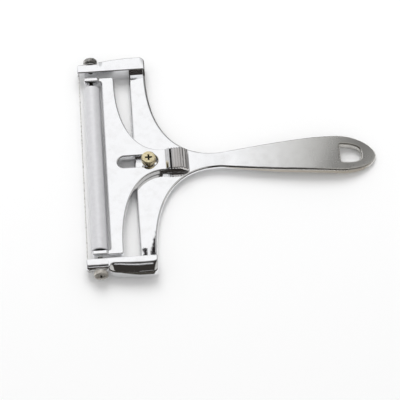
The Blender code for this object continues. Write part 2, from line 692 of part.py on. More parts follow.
def add_screw(name, material, frame, shank, head, recess_length, seat, rotation):
    """Pan-head screw standing on its seat, with shank and head as (radius, length) pairs."""
    shank_radius, shank_length = shank
    head_radius, head_height = head
    rim = head_height * HEAD_RIM_SHARE
    tip = shank_radius * HEAD_RIM_SHARE
    profile = [(0.0, -shank_length), (shank_radius - tip, -shank_length),
               (shank_radius, tip - shank_length), (shank_radius, 0.0), (head_radius, 0.0)]
    for a in spread(0.0, math.pi / 2, CORNER_STEPS):
        profile.append((head_radius - rim * (1.0 - math.cos(a)),
                        head_height - rim * (1.0 - math.sin(a))))
    profile.append((0.0, head_height))
    screw = add_solid(name, turned(profile, SCREW_SIDES), material, frame, seat, rotation)
    mouth = Vector(seat) + Euler(rotation).to_matrix() @ Vector((0.0, 0.0, head_height))
    combine(screw, "DIFFERENCE", f"{name}_recess",
            cross_recess(recess_length, head_height * RECESS_DEPTH_SHARE), mouth, rotation)


def lock_washer(frame, material):
    bore = LOCK_SHANK_RADIUS + SEAT_GAP
    section = [(bore, 0.0), (WASHER_RADIUS, 0.0), (WASHER_RADIUS, WASHER_THICKNESS),
               (bore, WASHER_THICKNESS)]
    add_solid("lock_washer", turned(section, SCREW_SIDES, closed=True), material, frame,
              (0.0, 0.0, WASHER_UNDERSIDE_Z))


def wire_half():
    """Points of the wire on the right, from the planer's middle to the end of the eye."""
    corner = Vector((WIRE_X, WIRE_EYE_Y, WIRE_Z))
    reach = WIRE_SCREW_X - WIRE_X
    lift = math.asin(WIRE_EYE_RADIUS / reach)
    heading = Vector((math.cos(lift), 0.0, math.sin(lift)))
    outward = Vector((0.0, 1.0, 0.0))
    bend_centre = corner + (heading - outward) * WIRE_BEND_RADIUS
    points = []
    for a in spread(0.0, math.pi / 2, CORNER_STEPS + 1):
        spoke = outward * math.sin(a) - heading * math.cos(a)
        points.append(bend_centre + spoke * WIRE_BEND_RADIUS)
    first = math.pi / 2 + lift
    steps = round(WIRE_EYE_ANGLE / WIRE_STEP_ANGLE)
    for a in spread(first, first - WIRE_EYE_ANGLE, steps + 1):
        points.append(Vector((WIRE_SCREW_X + WIRE_EYE_RADIUS * math.cos(a), WIRE_EYE_Y,
                              WIRE_Z + WIRE_EYE_RADIUS * math.sin(a))))
    return points


def cutting_wire(frame, material):
    """Steel wire from screw to screw, bent round both tips and taut between them."""
    right = wire_half()
    left = [Vector((p.x, -p.y, p.z)) for p in reversed(right)]
    route = left + right
    curve = bpy.data.curves.new("cutting_wire", "CURVE")
    curve.dimensions = "3D"
    curve.bevel_depth = WIRE_RADIUS
    curve.bevel_resolution = WIRE_BEVEL_RESOLUTION
    curve.use_fill_caps = True
    spline = curve.splines.new("POLY")
    spline.points.add(len(route) - 1)
    for target, point in zip(spline.points, route):
        target.co = (*point, 1.0)
    curve.materials.append(material)
    place(bpy.data.objects.new("cutting_wire", curve), frame, (0.0, 0.0, 0.0), (0.0, 0.0, 0.0))


# How the planer stands

def resting_pitch():
    """Angle that brings the roller and the lowest of the handle onto one level surface."""
    pitch = 0.0
    for x in spread(HANDLE_ROOT_X, HANDLE_END_X, PITCH_SAMPLES):
        along, up = x - ROLLER_X, handle_underside(x, 0.0) - ROLLER_Z
        lean = math.asin(-ROLLER_RADIUS / math.hypot(along, up)) - math.atan2(up, along)
        pitch = max(pitch, lean)
    return pitch


def resting_frame():
    """Empty that stands the casting's frame on the ground, centred under the planer."""
    pitch = resting_pitch()
    axle_height = ROLLER_X * math.sin(pitch) + ROLLER_Z * math.cos(pitch)
    front = ARM_FRONT_X * math.cos(pitch) - WIRE_Z * math.sin(pitch)
    rear = HANDLE_END_X * math.cos(pitch) + DROOP * math.sin(pitch)
    frame = bpy.data.objects.new("resting_frame", None)
    place(frame, None, (-(front + rear) / 2, 0.0, ROLLER_RADIUS - axle_height),
          (0.0, -pitch, 0.0))
    return frame


def main():
    for thing in list(bpy.data.objects):
        bpy.data.objects.remove(thing, do_unlink=True)
    chrome = make_material("polished_chrome", (0.86, 0.87, 0.88), 0.08, 1.0)
    satin = make_material("satin_aluminium", (0.80, 0.80, 0.82), 0.45, 1.0)
    steel = make_material("stainless_steel", (0.55, 0.54, 0.52), 0.30, 1.0)
    plastic = make_material("dark_plastic", (0.10, 0.10, 0.10), 0.50, 0.0)
    brass = make_material("brass", (0.83, 0.68, 0.34), 0.28, 1.0)

    frame = resting_frame()
    frame_casting(frame, chrome)
    carriage(frame, chrome)
    roller(frame, satin, plastic, steel)
    cutting_wire(frame, steel)
    lock_washer(frame, brass)
    add_screw("lock_screw", brass, frame,
              (LOCK_SHANK_RADIUS, LOCK_HEAD_UNDERSIDE_Z - LOCK_SCREW_END_Z),
              (LOCK_HEAD_RADIUS, LOCK_HEAD_HEIGHT), LOCK_RECESS_LENGTH,
              (0.0, 0.0, LOCK_HEAD_UNDERSIDE_Z), (0.0, 0.0, 0.0))
    for side, word in ((RIGHT, "right"), (LEFT, "left")):
        add_screw(f"wire_screw_{word}", steel, frame,
                  (WIRE_SCREW_SHANK_RADIUS, WIRE_SCREW_LENGTH),
                  (WIRE_SCREW_HEAD_RADIUS, WIRE_SCREW_HEAD_HEIGHT), WIRE_SCREW_RECESS_LENGTH,
                  (WIRE_SCREW_X, side * WIRE_SCREW_HEAD_Y, WIRE_Z),
                  (-side * math.pi / 2, 0.0, 0.0))
    bpy.context.view_layer.update()


main()
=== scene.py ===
"""Looks of an adjustable wire cheese planer with a roller, on a white studio floor.

Every piece is shaped again here at its CAD size, only finer, and stands for its CAD node.
Pieces are drawn in the casting's own frame, in metres: origin on the lock screw's axis at the
top of the web, +X towards the handle's end, +Y to the right, +Z up. The planer stands on its
roller and on the tip of its handle, so that frame is pitched on the ground.
"""

import math

import bmesh
import bpy
from mathutils import Matrix, Vector


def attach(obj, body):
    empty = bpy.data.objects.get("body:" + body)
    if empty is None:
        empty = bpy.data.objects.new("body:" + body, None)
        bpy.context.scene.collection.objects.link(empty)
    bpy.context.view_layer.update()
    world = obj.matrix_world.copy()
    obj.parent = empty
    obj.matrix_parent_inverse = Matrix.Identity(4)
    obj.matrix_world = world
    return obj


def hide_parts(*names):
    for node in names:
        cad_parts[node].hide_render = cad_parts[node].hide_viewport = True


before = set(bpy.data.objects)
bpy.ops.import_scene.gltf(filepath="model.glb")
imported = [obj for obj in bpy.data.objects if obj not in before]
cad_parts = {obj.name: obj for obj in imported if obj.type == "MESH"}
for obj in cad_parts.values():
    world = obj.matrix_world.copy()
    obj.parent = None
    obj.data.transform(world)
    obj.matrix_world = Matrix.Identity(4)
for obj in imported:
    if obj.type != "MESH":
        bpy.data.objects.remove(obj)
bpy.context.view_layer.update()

# Sizes of the pieces, as in the CAD model, but for rounder rims on the web
SEAT_GAP = 0.00025
OVERRUN = 0.0012
WEB_THICKNESS = 0.0029
WEB_FRONT_X = -0.0080
WEB_RIM_RADIUS = 0.0011
YOKE_REAR_X = 0.0012
YOKE_POWER = 2.5
LEG_OVERLAP = 0.0024
LEG_WEDGE_WIDTH = 0.0040
LEG_WEDGE_HEIGHT = 0.0004
HANDLE_ROOT_X = 0.0387
HANDLE_ROOT_HALF_WIDTH = 0.0047
HANDLE_WIDEST_X = 0.1036
HANDLE_HALF_WIDTH = 0.0112
HANDLE_END_X = 0.1243
HANDLE_THICKNESS = 0.0042
HANDLE_TOP_CROWN = 0.0004
HANDLE_UNDER_CROWN = 0.0008
HANDLE_STRAIGHT_SHARE = 0.35
NOSE_POWER = 1.9
DROOP = 0.0070
DROOP_START_X = 0.0800
DROOP_POWER = 2.3
HANG_HOLE_FRONT_X = 0.1043
HANG_HOLE_END_X = 0.1156
HANG_HOLE_HALF_WIDTH = 0.0053
HANG_HOLE_POWER = 3.0
HANG_HOLE_CORNER_RADIUS = 0.0008
ARM_INNER_Y = 0.0575
ARM_WIDTH = 0.0091
ARM_FRONT_X = -0.0361
ARM_REAR_X = 0.0013
ARM_TOP_Z = 0.0060
ARM_UNDERSIDE_Z = -0.0030
ARM_INNER_RIM_RADIUS = 0.0007
ARM_CROWN_DROP = 0.0013
TIP_CROWN_DROP = 0.0004
ARM_SHOULDER_RADIUS = 0.0010
ARM_KEEL_RADIUS = 0.0024
ARM_END_RADIUS = 0.0030
ARM_END_RIM_RADIUS = 0.0007
ARM_TIP_END_RADIUS = 0.0014
TIP_WIDTH = 0.0058
TIP_UNDERSIDE_Z = -0.0002
TIP_REAR_X = -0.0246
TIP_STEP_LENGTH = 0.0032
ARM_SWELL_LENGTH = 0.0160
ARM_SWELL_POWER = 0.3
WIRE_RADIUS = 0.0003
WIRE_Z = 0.0030
WIRE_BEND_RADIUS = 0.0010
WIRE_EYE_ANGLE = math.radians(290)
NOTCH_DEPTH = 0.0013
WIRE_SCREW_X = -0.0287
WIRE_SCREW_SHANK_RADIUS = 0.0018
WIRE_SCREW_LENGTH = 0.0050
BOSS_RADIUS = 0.0031
LOCK_SHANK_RADIUS = 0.0019
LOCK_SCREW_END_Z = -0.0025
WASHER_RADIUS = 0.0039
WASHER_THICKNESS = 0.0004
# Screw heads are (radius, height, recess length)
WIRE_SCREW_HEAD = (0.00375, 0.0026, 0.0040)
LOCK_SCREW_HEAD = (0.0039, 0.0026, 0.0038)
HEAD_RIM_SHARE = 0.28
RECESS_WIDTH_SHARE = 0.26
RECESS_DEPTH_SHARE = 0.62
RECESS_TAPER_SHARE = 0.55
CARRIAGE_THICKNESS = 0.0037
CARRIAGE_TOP_RIM_RADIUS = 0.0007
CARRIAGE_UNDER_RIM_RADIUS = 0.0004
BAR_FRONT_X = -0.0232
BAR_REAR_X = -0.0160
BAR_CORNER_RADIUS = 0.0018
EAR_FRONT_X = -0.0328
EAR_INNER_Y = 0.05195
EAR_OUTER_Y = 0.05505
EAR_REAR_X = -0.0241
EAR_DEPTH = 0.0056
EAR_RISE = 0.0010
EAR_RAMP_LENGTH = 0.0012
EAR_CORNER_RADIUS = 0.0009
STEM_CURVE_X = 0.0085
STEM_HALF_WIDTH = 0.0066
STEM_POWER = 2.3
STEM_END_X = 0.0217
STEM_CORNER_RADIUS = 0.0012
SLOT_HALF_WIDTH = 0.00335
SLOT_FRONT_X = -0.01655
SLOT_REAR_X = 0.00465
NECK_RISE_X = 0.0088
GRIP_FRONT_X = 0.0118
GRIP_GROOVE_DEPTH = 0.0005
GRIP_TOP_Z = 0.0055
GRIP_FALL_X = 0.0165
GRIP_END_Z = 0.0014
RIB_PITCH = 0.0014
RIB_DEPTH = 0.0005
RIB_COUNT = 6
ROLLER_X = -0.0288
ROLLER_Z = 0.0015
ROLLER_RADIUS = 0.0045
ROLLER_WALL = 0.0010
ROLLER_HALF_LENGTH = 0.0502
ROLLER_RIM = 0.0003
ROLLER_SHIFT_Y = -0.0014
AXLE_RADIUS = 0.0010
BUSH_DEPTH = 0.0060
BUSH_INSET = 0.0004
CARRIAGE_UNDERSIDE_Z = SEAT_GAP
CARRIAGE_TOP_Z = CARRIAGE_UNDERSIDE_Z + CARRIAGE_THICKNESS
WASHER_UNDERSIDE_Z = CARRIAGE_TOP_Z + SEAT_GAP
LOCK_HEAD_UNDERSIDE_Z = WASHER_UNDERSIDE_Z + WASHER_THICKNESS + SEAT_GAP
BOSS_TOP_Z = CARRIAGE_TOP_Z - SEAT_GAP
TIP_OUTER_Y = ARM_INNER_Y + TIP_WIDTH
WIRE_EYE_Y = TIP_OUTER_Y + SEAT_GAP + WIRE_RADIUS
WIRE_SCREW_HEAD_Y = WIRE_EYE_Y + WIRE_RADIUS + SEAT_GAP
WIRE_X = ARM_FRONT_X + NOTCH_DEPTH - SEAT_GAP - WIRE_RADIUS
WIRE_EYE_RADIUS = WIRE_SCREW_SHANK_RADIUS + SEAT_GAP + WIRE_RADIUS
RIGHT = 1
LEFT = -1

# Detail that only shows close up
THREAD_PITCH = 0.0007
THREAD_DEPTH = 0.0002
RECESS_EDGE_WIDTH = 0.00012
RECESS_EDGE_STEPS = 2
RECESS_EDGE_ANGLE = math.radians(40)
DRAFT_ANGLE = math.radians(2.5)

# How finely curves are divided
RIM_STEPS = 6
CORNER_STEPS = 8
CURVE_STEPS = 56
NOSE_STEPS = 28
HOLE_STEPS = 14
ROLLER_SIDES = 120
SCREW_SIDES = 72
WIRE_STEP_ANGLE = math.radians(7)
WIRE_BEVEL_RESOLUTION = 6
HANDLE_SLICES = 64
PITCH_SAMPLES = 60
CROWN_SLICES = 15
SWELL_SLICES = 26
ARM_CROWN_STEPS = 10
NECK_SLICES = 12
RIB_SLICES = 12
RAMP_SLICES = 6
FLAT_NORMAL_WEIGHT = 80
SHARP_ANGLE = math.radians(32)
PLANAR_ANGLE = math.radians(0.1)
SLICE_TOLERANCE = 0.000002

# Photograph's camera, in the casting's frame
LOOK_AT = Vector((0.0256, -0.0264, 0.0040))
CAMERA_OFFSET = Vector((-0.0298, -0.3782, 0.6987))
LENS = 135.0
SENSOR_WIDTH = 36.0


# Small helpers for numbers and outlines

def clamp(share):
    return min(1.0, max(0.0, share))


def smooth(share):
    share = clamp(share)
    return share * share * (3.0 - 2.0 * share)


def between(low, high, share):
    return low + (high - low) * share


def spread(low, high, count):
    """Evenly spaced values from low to high, both included."""
    return [between(low, high, i / (count - 1)) for i in range(count)]


def quarter(centre, reach, power, steps):
    """Quarter of a superellipse, from straight above its centre to straight beside it."""
    angles = spread(0.0, math.pi / 2, steps)
    return [Vector((centre[0] + reach[0] * clamp(math.sin(a)) ** (2.0 / power),
                    centre[1] + reach[1] * clamp(math.cos(a)) ** (2.0 / power)))
            for a in angles]


def filleted(corners):
    """Outline through (x, y, radius) corners, each rounded by an arc of its radius."""
    points = []
    for i, (x, y, radius) in enumerate(corners):
        corner = Vector((x, y))
        if not radius:
            points.append(corner)
            continue
        before = (Vector(corners[i - 1][:2]) - corner).normalized()
        after = (Vector(corners[(i + 1) % len(corners)][:2]) - corner).normalized()
        half = before.angle(after) / 2
        centre = corner + (before + after).normalized() * radius / math.sin(half)
        start = corner + before * radius / math.tan(half) - centre
        end = corner + after * radius / math.tan(half) - centre
        turn = start.angle_signed(end)
        for share in spread(0.0, 1.0, CORNER_STEPS + 1):
            spoke = start.copy()
            spoke.rotate(Matrix.Rotation(-turn * share, 2))
            points.append(centre + spoke)
    return points


def mirrored(points):
    return [Vector((p.x, -p.y)) for p in reversed(points)]


def mirrored_corners(corners):
    return [(x, -y, radius) for x, y, radius in reversed(corners)]


def without_repeats(points):
    kept = []
    for point in points:
        if not kept or (point - kept[-1]).length > SLICE_TOLERANCE:
            kept.append(point)
    if (kept[0] - kept[-1]).length <= SLICE_TOLERANCE:
        kept.pop()
    return kept


def inset(outline, distance):
    """The outline moved to its left by a distance, with mitred corners."""
    moved = []
    for i, point in enumerate(outline):
        arriving = (point - outline[i - 1]).normalized()
        leaving = (outline[(i + 1) % len(outline)] - point).normalized()
        normal = Vector((-arriving.y - leaving.y, arriving.x + leaving.x)).normalized()
        lean = normal.dot(Vector((-leaving.y, leaving.x)))
        moved.append(point + normal * distance / lean)
    return moved


# Meshes

def bridge(bm, lower, upper):
    """Faces between two rings, either of which may be a single point."""
    count = max(len(lower), len(upper))
    for i in range(count):
        j = (i + 1) % count
        corners = [lower[i % len(lower)], lower[j % len(lower)],
                   upper[j % len(upper)], upper[i % len(upper)]]
        bm.faces.new(list(dict.fromkeys(corners)))


def rim_rings(outline, low, high, low_radius, high_radius):
    """Rings up the leaning wall of a plate whose lower and upper rims are rounded."""
    angles = spread(0.0, math.pi / 2, RIM_STEPS + 1)
    rings = []
    for a in reversed(angles):
        rings.append((low_radius * (1.0 - math.cos(a)), low + low_radius * (1.0 - math.sin(a))))
    for a in angles:
        rings.append((high_radius * (1.0 - math.cos(a)),
                      high - high_radius * (1.0 - math.sin(a))))
    lean = math.tan(DRAFT_ANGLE)
    return [[Vector((p.x, p.y, height)) for p in inset(outline, depth + lean * (height - low))]
            for depth, height in rings]


def rounded_plate(outline, holes, low, high, low_radius, high_radius):
    """Plate in XY. The outline runs counter-clockwise and the holes clockwise."""
    bm = bmesh.new()
    faces_to_fill = ([], [])
    for loop in [outline, *holes]:
        rings = [[bm.verts.new(point) for point in ring]
                 for ring in rim_rings(loop, low, high, low_radius, high_radius)]
        for lower, upper in zip(rings, rings[1:]):
            bridge(bm, lower, upper)
        for edges, ring in zip(faces_to_fill, (rings[0], rings[-1])):
            edges += [bm.edges.get((ring[i - 1], ring[i])) for i in range(len(ring))]
    for edges in faces_to_fill:
        made = bmesh.ops.triangle_fill(bm, use_beauty=True, edges=edges)["geom"]
        inner = [g for g in made if isinstance(g, bmesh.types.BMEdge) and g not in edges]
        bmesh.ops.dissolve_limit(bm, angle_limit=PLANAR_ANGLE, edges=inner)
    return bm


def slice_at(bm, positions, axis):
    """Adds a line of vertices wherever a plane across the axis cuts the mesh."""
    normal = Vector((axis == "X", axis == "Y", axis == "Z"))
    for position in positions:
        everything = bm.verts[:] + bm.edges[:] + bm.faces[:]
        bmesh.ops.bisect_plane(bm, geom=everything, dist=SLICE_TOLERANCE,
                               plane_co=normal * position, plane_no=normal)


def reshape(bm, rule):
    for vertex in bm.verts:
        vertex.co = rule(vertex.co)


def turned(profile, sides, closed=False):
    """Solid of (radius, height) points turned about Z, open ends lying on the axis."""
    bm = bmesh.new()
    rings = []
    for radius, height in profile:
        if radius:
            rings.append([bm.verts.new((radius * math.cos(a), radius * math.sin(a), height))
                          for a in (2 * math.pi * i / sides for i in range(sides))])
        else:
            rings.append([bm.verts.new((0.0, 0.0, height))])
    pairs = zip(rings, rings[1:] + rings[:1]) if closed else zip(rings, rings[1:])
    for lower, upper in pairs:
        bridge(bm, lower, upper)
    return bm


def cylinder(radius, low, high, sides):
    return turned([(0.0, low), (radius, low), (radius, high), (0.0, high)], sides)


def lofted(sections):
    """Solid through sections of as many (x, y, z) points each, closed at both ends."""
    bm = bmesh.new()
    rings = [[bm.verts.new(point) for point in section] for section in sections]
    for lower, upper in zip(rings, rings[1:]):
        bridge(bm, lower, upper)
    bm.faces.new(reversed(rings[0]))
    bm.faces.new(rings[-1])
    return bm


def prism(outline, low, high):
    return lofted([[(p.x, p.y, height) for p in outline] for height in (low, high)])


# Objects

def link(name, data, matrix=Matrix.Identity(4)):
    thing = bpy.data.objects.new(name, data)
    thing.matrix_world = matrix
    bpy.context.scene.collection.objects.link(thing)
    return thing


def mesh_from(name, bm):
    bmesh.ops.recalc_face_normals(bm, faces=bm.faces)
    mesh = bpy.data.meshes.new(name)
    bm.to_mesh(mesh)
    bm.free()
    return mesh


def hollow(radii, heights, rims, sides):
    """Mesh of a ring about Z, from (inner, outer) radii and rims and (low, high) heights."""
    (inner, outer), (low, high), (inner_rim, outer_rim) = radii, heights, rims
    section = filleted([(inner, low, inner_rim), (outer, low, outer_rim),
                        (outer, high, outer_rim), (inner, high, inner_rim)])
    return mesh_from("ring", turned(section, sides, closed=True))


def carve(base, steps):
    """One mesh from a base shape and (operation, shape) or (operation, shape, matrix) steps."""
    body = link("shape_in_work", mesh_from("shape_in_work", base))
    tools = []
    for operation, shape, *matrix in steps:
        tool = link("tool_shape", mesh_from("tool_shape", shape), *matrix)
        modifier = body.modifiers.new(operation, "BOOLEAN")
        modifier.operation = operation
        modifier.solver = "EXACT"
        modifier.object = tool
        tools.append(tool)
    bpy.context.view_layer.update()
    graph = bpy.context.evaluated_depsgraph_get()
    mesh = bpy.data.meshes.new_from_object(body.evaluated_get(graph))
    for thing in (body, *tools):
        bpy.data.meshes.remove(thing.data)
    return mesh


def finish_piece(name, mesh, seat, material, body, node, edge_width=0.0):
    """Object for a mesh, riding on its body in place of its CAD node.

    The seat is its matrix in the casting's frame. The pitch of that frame goes into the mesh,
    so that the object's box lies square to the ground.
    """
    level = Matrix.Translation(STANDING @ seat.translation) @ seat.to_3x3().to_4x4()
    mesh.transform(level.inverted() @ STANDING @ seat)
    mesh.name = name
    mesh.materials.append(material)
    mesh.shade_smooth()
    mesh.set_sharp_from_angle(angle=SHARP_ANGLE)
    thing = link(name, mesh, level)
    if edge_width:
        bevel = thing.modifiers.new("worn_edges", "BEVEL")
        bevel.width = edge_width
        bevel.segments = RECESS_EDGE_STEPS
        bevel.limit_method = "ANGLE"
        bevel.angle_limit = RECESS_EDGE_ANGLE
        bevel.use_clamp_overlap = True
    flats = thing.modifiers.new("flat_faces_stay_flat", "WEIGHTED_NORMAL")
    flats.weight = FLAT_NORMAL_WEIGHT
    flats.keep_sharp = True
    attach(thing, body)
    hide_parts(node)


# How the planer stands

def handle_half_width(x):
    share = clamp((x - HANDLE_ROOT_X) / (HANDLE_WIDEST_X - HANDLE_ROOT_X))
    swell = (HANDLE_STRAIGHT_SHARE * share
             + (1.0 - HANDLE_STRAIGHT_SHARE) * math.sin(share * math.pi / 2))
    return between(HANDLE_ROOT_HALF_WIDTH, HANDLE_HALF_WIDTH, swell)


def handle_droop(x):
    share = clamp((x - DROOP_START_X) / (HANDLE_END_X - DROOP_START_X))
    return DROOP * share ** DROOP_POWER


def handle_nose_share(x):
    """How much of its thickness the handle keeps towards its rounded tip."""
    share = clamp((x - HANDLE_WIDEST_X) / (HANDLE_END_X - HANDLE_WIDEST_X))
    return math.sqrt(between(1.0, HANDLE_STRAIGHT_SHARE ** 2, share ** 2))


def handle_underside(x, y_share):
    """Height of the handle's underside, y_share being the place across its half width."""
    grown = smooth((x - HANDLE_ROOT_X) / (DROOP_START_X - HANDLE_ROOT_X))
    thickness = between(WEB_THICKNESS, HANDLE_THICKNESS, grown) * handle_nose_share(x)
    crown = HANDLE_UNDER_CROWN * grown * handle_nose_share(x) * (1.0 - clamp(y_share ** 2))
    return -handle_droop(x) - thickness - crown


def resting_matrix():
    """The casting's frame on the ground, pitched so that roller and handle tip touch it."""
    pitch = 0.0
    for x in spread(HANDLE_ROOT_X, HANDLE_END_X, PITCH_SAMPLES):
        along, up = x - ROLLER_X, handle_underside(x, 0.0) - ROLLER_Z
        lean = math.asin(-ROLLER_RADIUS / math.hypot(along, up)) - math.atan2(up, along)
        pitch = max(pitch, lean)
    axle_height = ROLLER_X * math.sin(pitch) + ROLLER_Z * math.cos(pitch)
    front = ARM_FRONT_X * math.cos(pitch) - WIRE_Z * math.sin(pitch)
    rear = HANDLE_END_X * math.cos(pitch) + DROOP * math.sin(pitch)
    place = Vector((-(front + rear) / 2, 0.0, ROLLER_RADIUS - axle_height))
    return Matrix.Translation(place) @ Matrix.Rotation(-pitch, 4, "Y")


def at(x, y, z, tilt=0.0):
    """Matrix in the casting's frame, tilted about X."""
    return Matrix.Translation((x, y, z)) @ Matrix.Rotation(tilt, 4, "X")


STANDING = resting_matrix()


# Frame casting

def frame_outline():
    """Web, legs and handle seen from above, counter-clockwise from the handle's tip."""
    nose = quarter((HANDLE_WIDEST_X, 0.0), (HANDLE_END_X - HANDLE_WIDEST_X, HANDLE_HALF_WIDTH),
                   NOSE_POWER, NOSE_STEPS)
    sides = [Vector((x, handle_half_width(x)))
             for x in spread(HANDLE_WIDEST_X, HANDLE_ROOT_X, CURVE_STEPS)]
    leg_end = ARM_INNER_Y + LEG_OVERLAP
    yoke = quarter((HANDLE_ROOT_X, leg_end),
                   (YOKE_REAR_X - HANDLE_ROOT_X, HANDLE_ROOT_HALF_WIDTH - leg_end),
                   YOKE_POWER, CURVE_STEPS)
    half = [*reversed(nose), *sides, *yoke, Vector((WEB_FRONT_X, leg_end))]
    return without_repeats(half + mirrored(half))


def hang_hole():
    """Rounded bullet shape, straight towards the head, clockwise."""
    reach = (HANG_HOLE_END_X - HANG_HOLE_FRONT_X, HANG_HOLE_HALF_WIDTH)
    side = quarter((HANG_HOLE_FRONT_X, 0.0), reach, HANG_HOLE_POWER, HOLE_STEPS)[1:]
    corner = (HANG_HOLE_FRONT_X, HANG_HOLE_HALF_WIDTH, HANG_HOLE_CORNER_RADIUS)
    clear = [p for p in side if p.x > HANG_HOLE_FRONT_X + 2 * HANG_HOLE_CORNER_RADIUS]
    corners = [corner, *((p.x, p.y, 0.0) for p in clear)]
    return filleted(corners + mirrored_corners(corners[:-1]))


def handle_rule(point):
    """Moves a vertex of the flat plate onto the drooping, crowned handle."""
    if point.x <= HANDLE_ROOT_X:
        return point
    depth_share = -point.z / WEB_THICKNESS
    y_share = point.y / handle_half_width(point.x)
    grown = smooth((point.x - HANDLE_ROOT_X) / (DROOP_START_X - HANDLE_ROOT_X))
    crown = HANDLE_TOP_CROWN * grown * handle_nose_share(point.x) * (1.0 - clamp(y_share ** 2))
    top = crown - handle_droop(point.x)
    return Vector((point.x, point.y,
                   between(top, handle_underside(point.x, y_share), depth_share)))


def end_round(distance, radius):
    """How far a rounded end has drawn in at a distance from its tip."""
    left = max(radius - distance, 0.0)
    return radius - math.sqrt(radius ** 2 - left ** 2)


def arm_ring(x):
    """Outline of an arm's section at x as (y, z), its top falling away towards the outside."""
    swell = clamp((x - TIP_REAR_X) / ARM_SWELL_LENGTH) ** ARM_SWELL_POWER
    step = smooth((x - TIP_REAR_X) / TIP_STEP_LENGTH)
    from_tip, from_rear = x - ARM_FRONT_X, ARM_REAR_X - x
    outer = ARM_INNER_Y + between(TIP_WIDTH, ARM_WIDTH, swell)
    outer -= end_round(from_tip, ARM_TIP_END_RADIUS) + end_round(from_rear, ARM_END_RADIUS)
    rim_inset = end_round(from_tip, ARM_END_RIM_RADIUS) + end_round(from_rear, ARM_END_RIM_RADIUS)
    low = between(TIP_UNDERSIDE_Z, ARM_UNDERSIDE_Z, step) + rim_inset
    high = ARM_TOP_Z - rim_inset
    drop = between(TIP_CROWN_DROP, ARM_CROWN_DROP, step)
    rim, shoulder, keel = ARM_INNER_RIM_RADIUS, ARM_SHOULDER_RADIUS, ARM_KEEL_RADIUS
    crown_start = ARM_INNER_Y + rim
    slope = math.atan(2.0 * drop / (outer - shoulder - crown_start))
    crown_end = outer - shoulder * (1.0 - math.sin(slope))
    ring = [(outer - shoulder * (1.0 - math.cos(a)),
             high - drop - shoulder * (math.cos(slope) - math.sin(a)))
            for a in spread(0.0, math.pi / 2 - slope, CORNER_STEPS + 1)]
    ring += [(between(crown_start, crown_end, share), high - drop * share ** 2)
             for share in spread(1.0, 0.0, ARM_CROWN_STEPS + 1)[1:-1]]
    corners = [(crown_start, high - rim, rim), (crown_start, low + rim, rim),
               (outer - keel, low + keel, keel)]
    for quadrant, (y, z, radius) in enumerate(corners, start=1):
        for a in spread(quadrant * math.pi / 2, (quadrant + 1) * math.pi / 2, CORNER_STEPS + 1):
            ring.append((y + radius * math.cos(a), z + radius * math.sin(a)))
    return ring


def arm_stations():
    """Places along an arm where its section is drawn, closer together where it curves."""
    near_ends = [1.0 - math.cos(a) for a in spread(0.0, math.pi / 2, CORNER_STEPS + 1)]
    stations = {TIP_REAR_X + share ** 2 * ARM_SWELL_LENGTH
                for share in spread(0.0, 1.0, SWELL_SLICES)}
    for end, reach in ((ARM_FRONT_X, ARM_TIP_END_RADIUS), (ARM_FRONT_X, ARM_END_RIM_RADIUS),
                       (ARM_REAR_X, -ARM_END_RADIUS), (ARM_REAR_X, -ARM_END_RIM_RADIUS)):
        stations.update(end + reach * share for share in near_ends)
    return sorted(stations)


def arm(side):
    """Arm with a narrow tip for the wire screw, swelling outwards behind it."""
    return lofted([[(x, side * y, z) for y, z in arm_ring(x)] for x in arm_stations()])


def leg_wedge(side):
    """Shallow slope by which the top of a leg rises to the inner face of its arm."""
    buried = LEG_OVERLAP / 2
    section = [Vector((ARM_INNER_Y - LEG_WEDGE_WIDTH, 0.0)),
               Vector((ARM_INNER_Y, LEG_WEDGE_HEIGHT)),
               Vector((ARM_INNER_Y + buried, LEG_WEDGE_HEIGHT)),
               Vector((ARM_INNER_Y + buried, -buried)),
               Vector((ARM_INNER_Y - LEG_WEDGE_WIDTH, -buried))]
    bm = prism(section, WEB_FRONT_X + WEB_RIM_RADIUS, YOKE_REAR_X - WEB_RIM_RADIUS)
    reshape(bm, lambda point: Vector((point.z, side * point.x, point.y)))
    return bm


